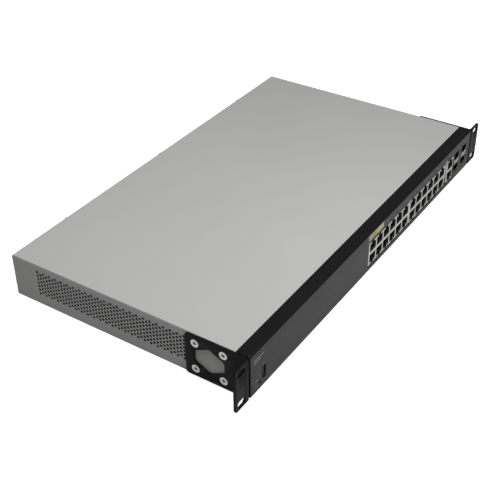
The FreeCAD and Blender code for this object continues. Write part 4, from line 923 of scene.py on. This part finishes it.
@dataclass
class JackBlock:
    """Two rows of network jacks under one folded shield."""

    block: str
    housing_edge: float = 0.18 * MM
    shield_edge: float = 0.12 * MM
    wire_width: float = 0.42 * MM
    wire_thickness: float = 0.26 * MM
    spring_rise: float = 3.0 * MM
    spring_length: float = 8.4 * MM
    knee_share: float = 0.35
    tongue_length: float = 1.8 * MM

    def build(self) -> None:
        """Dress housing, shield and lenses, and bend the contact wires."""
        stem = "port_block_" + self.block
        eased_skin(stem + "_housing", JACK_BLACK, self.housing_edge)
        eased_skin(stem + "_shield", SHIELD, self.shield_edge)
        dress(stem + "_lenses", LENS_CLEAR)
        self._wires(stem + "_contacts")

    def _wires(self, node: str) -> None:
        """Bend a sprung wire where each straight one lies.

        Args:
            node: The contacts' node.
        """
        mesh = bmesh.new()
        boxes = part_boxes(node)
        middle = sum(box.middle.z for box in boxes) / len(boxes)
        for box in boxes:
            rise = self.spring_rise if box.middle.z > middle else -self.spring_rise
            back = Vector((box.middle.x, box.high.y, box.middle.z + rise))
            knee = back + Vector((0.0, -self.spring_length * self.knee_share, 0.0))
            foot = Vector((box.middle.x, box.high.y - self.spring_length, box.middle.z))
            tip = foot + Vector((0.0, -self.tongue_length, 0.0))
            drawn_strip(mesh, self.wire_width, self.wire_thickness, [back, knee, foot, tip])
        publish(mesh, node + "_sprung", GOLD, CASE, (node,), turn_faces=True)


@dataclass
class ModuleCage:
    """A stamped cage for two modules, with earthing springs and light windows at its mouth."""

    cage: str
    edge: float = 0.1 * MM
    finger_width: float = 1.3 * MM
    finger_pitch: float = 2.0 * MM
    finger_length: float = 5.0 * MM
    finger_setback: float = 0.4 * MM
    finger_steps: int = 6
    finger_bow: float = 0.45 * MM
    sheet: float = 0.2 * MM
    light_width: float = 2.4 * MM
    light_height: float = 1.5 * MM
    light_offset: float = 3.2 * MM
    light_rise: float = 1.2 * MM
    light_proud: float = 0.02 * MM

    def build(self) -> None:
        """Round the cage, fit its springs and set its light windows."""
        node = "module_cage_" + self.cage
        eased_skin(node, CAGE_PLATE, self.edge)
        self._springs(Box.of(node))
        self._lights(Box.of(node))

    def _lights(self, cage: Box) -> None:
        """Set two dark light windows in the strip between the ports.

        Args:
            cage: The cage's box.
        """
        mesh = bmesh.new()
        rise = cage.middle.z + self.light_rise
        for side in (-1, 1):
            middle = cage.middle.x + side * self.light_offset
            left, low = middle - self.light_width / 2, rise - self.light_height / 2
            add_block(mesh, (left, cage.low.y - self.light_proud, low),
                      (left + self.light_width, cage.low.y + self.sheet, low + self.light_height))
        publish(mesh, "module_cage_%s_lights" % self.cage, LENS_CLEAR)

    def _springs(self, cage: Box) -> None:
        """Bow springs outwards along both sides of the mouth.

        Args:
            cage: The cage's box.
        """
        mesh = bmesh.new()
        start = cage.low.y + self.finger_setback
        rows = int((cage.size.z - 4 * self.edge) / self.finger_pitch) - 1
        rises = [cage.high.z - (row + 1) * self.finger_pitch for row in range(rows)]
        for side, wall in ((-1, cage.low.x), (1, cage.high.x)):
            for rise in rises:
                if rise < cage.low.z + self.finger_pitch:
                    continue
                route = []
                for step in range(self.finger_steps + 1):
                    share = step / self.finger_steps
                    bow = self.finger_bow * math.sin(math.pi * share)
                    route.append(Vector((wall + side * (self.sheet / 2 + bow),
                                         start + share * self.finger_length, rise)))
                drawn_strip(mesh, self.sheet, self.finger_width, route)
        publish(mesh, "module_cage_%s_springs" % self.cage, CAGE_PLATE, turn_faces=True)


@dataclass
class ServiceSocket:
    """Upright service socket with its tongue's contacts."""

    shell_edge: float = 0.15 * MM
    insert_edge: float = 0.2 * MM
    strips: int = 4
    strip_pitch: float = 2.0 * MM
    strip_width: float = 1.0 * MM
    strip_proud: float = 0.06 * MM
    strip_start: float = 1.2 * MM
    strip_end: float = 7.0 * MM
    tongue_inset: float = 2.9 * MM

    def build(self) -> None:
        """Round the shell and lay the contact strips on the tongue."""
        eased_skin("usb_shell", USB_PLATE, self.shell_edge)
        eased_skin("usb_insert", SOCKET_DARK, self.insert_edge)
        insert = Box.of("usb_insert")
        face = insert.low.x + self.tongue_inset
        mesh = bmesh.new()
        for index in range(self.strips):
            rise = insert.middle.z + (index - (self.strips - 1) / 2) * self.strip_pitch
            add_block(mesh, (face, insert.low.y + self.strip_start, rise - self.strip_width / 2),
                      (face + self.strip_proud, insert.low.y + self.strip_end, rise + self.strip_width / 2))
        publish(mesh, "usb_contacts", GOLD)


# ---- Boards and what stands on them ----

@dataclass
class MainBoard:
    """Switch board with its chips, small parts and heat sink."""

    chip_edge: float = 0.15 * MM
    part_length: float = 1.6 * MM
    part_width: float = 0.8 * MM
    part_height: float = 0.6 * MM
    cap_length: float = 0.35 * MM
    side_margin: float = 6 * MM
    front_margin: float = 30 * MM
    rear_margin: float = 4 * MM
    clearance: float = 2 * MM
    widest_blocker: float = 60 * MM
    parts: int = 90
    seed: int = 7

    def build(self) -> None:
        """Dress the board's pieces and scatter its small parts."""
        dress("main_board", BOARD_GREEN)
        for node in ("switch_chip", "memory_chips", "power_drivers"):
            eased_skin(node, CHIP_BLACK, self.chip_edge)
        for node in ("power_headers", "fan_headers"):
            eased_skin(node, IVORY, 2 * self.chip_edge)
        eased_skin("chip_heat_sink", SINK_METAL, self.chip_edge)
        eased_skin("board_screws", NICKEL, 2 * self.chip_edge)
        dress("board_standoffs", BRASS)
        dress("module_connectors", JACK_BLACK)
        self._small_parts()

    def _small_parts(self) -> None:
        """Set small parts at random places where the board is bare."""
        board = Box.of("main_board")
        shells = ("main_board", "top_cover", "chassis_tray", "front_bezel")
        boxes = [Box.of(node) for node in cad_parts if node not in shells]
        taken = [box for box in boxes if box.size.x < self.widest_blocker]
        gap = self.clearance
        order = random.Random(self.seed)
        mesh = bmesh.new()
        ends = bmesh.new()
        placed = 0
        while placed < self.parts:
            x = order.uniform(board.low.x + self.side_margin, board.high.x - self.side_margin)
            y = order.uniform(board.low.y + self.front_margin, board.high.y - self.rear_margin)
            if any(box.low.x - gap < x < box.high.x + gap and box.low.y - gap < y < box.high.y + gap
                   for box in taken):
                continue
            self._small_part(mesh, ends, x, y, board.high.z)
            placed += 1
        publish(mesh, "board_small_parts", CHIP_BLACK)
        publish(ends, "board_small_part_ends", ZINC)

    def _small_part(self, mesh: BMesh, ends: BMesh, x: float, y: float,
                    floor: float) -> None:
        """Add one small part with its two tinned ends.

        Args:
            mesh: Takes the body.
            ends: Takes the two ends.
            x: The part's middle along X.
            y: The part's middle along Y.
            floor: The board's top.
        """
        half, deep = self.part_length / 2, self.part_width / 2
        inner, top = half - self.cap_length, floor + self.part_height
        add_block(mesh, (x - inner, y - deep, floor), (x + inner, y + deep, top))
        for low, high in ((x - half, x - inner), (x + inner, x + half)):
            add_block(ends, (low, y - deep, floor), (high, y + deep, top))


@dataclass
class PowerSupply:
    """Mains supply board with its windings, cans and sinks."""

    edge: float = 0.3 * MM
    can_edge: float = 0.6 * MM
    winding_edge: float = 0.5 * MM
    top_inset: float = 0.2 * MM
    top_thickness: float = 0.1 * MM

    def build(self) -> None:
        """Dress the supply's pieces and top the cans."""
        dress("supply_board", BOARD_GREEN)
        eased_skin("transformer_core", FERRITE, self.edge)
        eased_skin("transformer_winding", TAPE_YELLOW, self.edge)
        eased_skin("supply_heat_sinks", SINK_METAL, self.edge)
        eased_skin("filter_capacitor", FILM_YELLOW, self.winding_edge)
        eased_skin("filter_choke", COPPER, self.winding_edge)
        eased_skin("supply_screws", NICKEL, self.edge)
        dress("supply_standoffs", BRASS)
        for node in ("bulk_capacitors", "board_capacitors"):
            eased_skin(node, CAN_SLEEVE, self.can_edge, segments=3)
            self._tops(node)

    def _tops(self, node: str) -> None:
        """Lay a metal disc on each can.

        Args:
            node: The cans' node.
        """
        mesh = bmesh.new()
        for can in part_boxes(node):
            radius = min(can.size.x, can.size.y) / 2 - self.can_edge - self.top_inset
            place = Matrix.Translation((can.middle.x, can.middle.y, can.high.z))
            bmesh.ops.create_cone(mesh, cap_ends=True, segments=32, radius1=radius, radius2=radius,
                                  depth=self.top_thickness, matrix=place)
        publish(mesh, node + "_tops", CAN_METAL)


@dataclass
class RearPanel:
    """Mains inlet and rating plate."""

    edge: float = 0.4 * MM
    pin_edge: float = 0.25 * MM
    screw_edge: float = 0.3 * MM
    print_proud: float = 0.02 * MM
    print_rows: int = 6
    row_pitch: float = 3.4 * MM
    row_height: float = 1.1 * MM

    def build(self) -> None:
        """Round the inlet and print plain bars on the plate."""
        eased_skin("mains_inlet", INLET_BLACK, self.edge)
        eased_skin("inlet_pins", BRASS, self.pin_edge)
        eased_skin("inlet_screws", NICKEL, self.screw_edge)
        dress("rating_plate", PLATE_SILVER)
        plate = Box.of("rating_plate")
        mesh = bmesh.new()
        for row in range(self.print_rows):
            low = plate.high.z - (row + 1) * self.row_pitch
            for shares in ((0.06, 0.3 + 0.05 * (row % 3)), (0.42, 0.8 - 0.07 * (row % 2))):
                left, right = (plate.low.x + share * plate.size.x for share in shares)
                add_block(mesh, (left, plate.high.y - self.print_proud, low),
                          (right, plate.high.y + self.print_proud, low + self.row_height))
        publish(mesh, "rating_plate_bars", JACK_BLACK)


@dataclass
class Controls:
    """Reset button and status light."""

    edge: float = 0.2 * MM

    def build(self) -> None:
        """Round the button, the pipe and the switch behind the button."""
        eased_skin("reset_button", SOCKET_DARK, self.edge, body="reset_button")
        eased_skin("status_light_pipe", PIPE_CLEAR, self.edge)
        eased_skin("reset_switch", CHIP_BLACK, self.edge)


# ---- Fans and leads ----

@dataclass
class Fan:
    """An axial fan: a moulded frame and a rotor with swept blades."""

    fan: str
    frame_edge: float = 0.4 * MM
    blades: int = 7
    hub_radius: float = 9.4 * MM
    hub_rim: float = 1.0 * MM
    hub_cap: float = 0.3 * MM
    shaft_radius: float = 1.5 * MM
    shaft_length: float = 1.8 * MM
    root_overlap: float = 0.5 * MM
    sweep: float = 0.22
    hub_steps: int = 48
    tip_radius: float = 17.1 * MM
    chord: float = 13.5 * MM
    root_pitch: float = 52.0
    tip_pitch: float = 34.0
    camber: float = 1.4 * MM
    blade_thickness: float = 0.7 * MM

    def build(self) -> None:
        """Build the frame's skin and the rotor."""
        eased_skin("fan_%s_frame" % self.fan, FAN_BLACK, self.frame_edge)
        self._rotor()

    def _rotor(self) -> None:
        """Turn the hub and set the blades round it."""
        node = "fan_%s_rotor" % self.fan
        box = Box.of(node)
        half, rim, hub = box.size.x / 2, self.hub_rim, self.hub_radius
        back, cap = self.shaft_length - half, half - self.hub_cap
        mesh = turned([(0.0, -half), (self.shaft_radius, -half), (self.shaft_radius, back), (hub, back),
                       (hub, half - rim), (hub - 0.3 * rim, half - 0.3 * rim), (hub - rim, half),
                       (0.4 * hub, half), (0.35 * hub, cap), (0.0, cap)], self.hub_steps)
        for index in range(self.blades):
            self._blade(mesh, math.tau * index / self.blades)
        along_x = Matrix.Translation(box.middle) @ Matrix.Rotation(math.radians(90), 4, "Y")
        bmesh.ops.transform(mesh, matrix=along_x, verts=mesh.verts)
        publish(mesh, node + "_bladed", FAN_BLACK, node, (node,), turn_faces=True)

    def _blade(self, mesh: BMesh, turn: float) -> None:
        """Shape one twisted, cambered blade from a grid and thicken it.

        Args:
            mesh: The rotor's bmesh.
            turn: The blade's place round the hub, in radians.
        """
        verts = bmesh.ops.create_grid(mesh, x_segments=8, y_segments=5, size=1.0)["verts"]
        for vertex in verts:
            chordwise, spanwise = vertex.co.x, (vertex.co.y + 1) / 2
            root = self.hub_radius - self.root_overlap
            radius = root + spanwise * (self.tip_radius - root)
            pitch = math.radians(self.root_pitch + spanwise * (self.tip_pitch - self.root_pitch))
            chord = self.chord * (0.8 + 0.25 * spanwise) / 2
            bulge = self.camber * (1 - chordwise ** 2)
            across = chordwise * chord * math.cos(pitch) - bulge * math.sin(pitch)
            rise = chordwise * chord * math.sin(pitch) + bulge * math.cos(pitch)
            angle = turn + across / radius + self.sweep * spanwise
            vertex.co = Vector((radius * math.cos(angle), radius * math.sin(angle), rise))
        faces = list({face for vertex in verts for face in vertex.link_faces})
        bmesh.ops.recalc_face_normals(mesh, faces=faces)
        bmesh.ops.solidify(mesh, geom=faces, thickness=self.blade_thickness)


@dataclass
class Leads:
    """The leads, and the screws that hold the fans."""

    screw_edge: float = 0.25 * MM

    def build(self) -> None:
        """Dress the leads and the fan screws."""
        for node in ("power_lead", "fan_leads"):
            dress(node, LEAD_BLACK)
        eased_skin("fan_screws", NICKEL, self.screw_edge)


# ---- Studio ----

@dataclass
class SoftLight:
    """One square area light aimed at the switch."""

    name: str
    place: tuple[float, float, float]
    size: float
    power: float

    def build(self) -> None:
        """Make the light and aim it."""
        data = bpy.data.lights.new(self.name, "AREA")
        data.size = self.size
        data.energy = self.power
        lamp = bpy.data.objects.new(self.name, data)
        lamp.location = self.place
        lamp.rotation_euler = (-Vector(self.place)).to_track_quat("-Z", "Y").to_euler()
        bpy.context.collection.objects.link(lamp)


@dataclass
class Studio:
    """Pale floor, soft lights and the camera."""

    floor_half: float = 6.0
    floor_lit: Colour = (0.45, 0.45, 0.45)
    floor_seen: Colour = (0.6, 0.6, 0.6)
    floor_glow: float = 0.7
    ambient: float = 0.1
    azimuth: float = -56.066
    elevation: float = 35.147
    roll: float = -0.809
    lens: float = 70.948
    eye: tuple[float, float, float] = (-0.69043, -0.44265, 0.55001)
    lights: list[SoftLight] = field(default_factory=lambda: [
        SoftLight("overhead", (-0.45, -0.35, 2.5), 1.3, 57.0),
        SoftLight("near_key", (-0.1, -0.19, 0.5), 0.3, 1.5),
    ])

    def build(self) -> None:
        """Set up everything round the switch."""
        self._floor()
        self._world()
        for light in self.lights:
            light.build()
        self._camera()
        view = bpy.context.scene.view_settings
        view.view_transform = "Standard"

    def _floor(self) -> None:
        """Lay the floor just under the case."""
        mesh = bmesh.new()
        bmesh.ops.create_grid(mesh, x_segments=1, y_segments=1, size=self.floor_half)
        data = bpy.data.meshes.new("floor")
        mesh.to_mesh(data)
        mesh.free()
        data.materials.append(self._pale())
        floor = bpy.data.objects.new("floor", data)
        floor.location.z = CAD_BOX[0][2]
        bpy.context.collection.objects.link(floor)

    def _pale(self) -> Material:
        """Return a plain pale finish that looks whiter than it lights its surroundings.

        Returns:
            The material.
        """
        material = bpy.data.materials.new("pale_floor")
        material.use_nodes = True
        tree = material.node_tree
        shader = tree.nodes["Principled BSDF"]
        seen = add_node(tree, "ShaderNodeLightPath").outputs["Is Camera Ray"]
        colour = mix_colour(tree, seen, (*self.floor_lit, 1.0), (*self.floor_seen, 1.0))
        tree.links.new(colour, shader.inputs["Base Color"])
        tree.links.new(maths(tree, "MULTIPLY", seen, self.floor_glow), shader.inputs["Emission Strength"])
        shader.inputs["Emission Color"].default_value = (1.0, 1.0, 1.0, 1.0)
        shader.inputs["Roughness"].default_value = 0.8
        shader.inputs["Specular IOR Level"].default_value = 0.1
        return material

    def _world(self) -> None:
        """Fill the surroundings with an even white that looks brighter than it lights."""
        world = bpy.data.worlds.new("surroundings")
        world.use_nodes = True
        tree = world.node_tree
        glow = tree.nodes["Background"]
        glow.inputs["Color"].default_value = (1.0, 1.0, 1.0, 1.0)
        seen = add_node(tree, "ShaderNodeLightPath").outputs["Is Camera Ray"]
        tree.links.new(maths(tree, "MAXIMUM", seen, self.ambient), glow.inputs["Strength"])
        bpy.context.scene.world = world

    def _camera(self) -> None:
        """Aim the camera by its azimuth, elevation and roll."""
        azimuth, elevation = math.radians(self.azimuth), math.radians(self.elevation)
        back = Vector((math.sin(azimuth) * math.cos(elevation), -math.cos(azimuth) * math.cos(elevation),
                       math.sin(elevation)))
        right = (-back).cross(Vector((0, 0, 1))).normalized()
        up = right.cross(-back)
        turn = math.radians(self.roll)
        side = math.cos(turn) * right + math.sin(turn) * up
        top = math.cos(turn) * up - math.sin(turn) * right
        data = bpy.data.cameras.new("camera")
        data.lens = self.lens
        data.sensor_width = 36.0
        data.clip_start = 0.01
        camera = bpy.data.objects.new("camera", data)
        axes = Matrix((side, top, back)).transposed().to_4x4()
        camera.matrix_world = Matrix.Translation(self.eye) @ axes
        bpy.context.collection.objects.link(camera)
        bpy.context.scene.camera = camera


def main() -> None:
    """Build every sub-assembly in order."""
    logging.basicConfig(level=logging.INFO, format="%(name)s: %(message)s")
    assemblies = [
        CaseSheets(), RackEars(), Bezel(),
        *(JackBlock(block) for block in ("one", "two", "three")),
        *(ModuleCage(cage) for cage in ("one", "two")),
        ServiceSocket(), Controls(), MainBoard(), PowerSupply(), RearPanel(),
        *(Fan(fan) for fan in ("one", "two")),
        Leads(), Studio(),
    ]
    for assembly in assemblies:
        assembly.build()


if __name__ == "__main__":
    main()
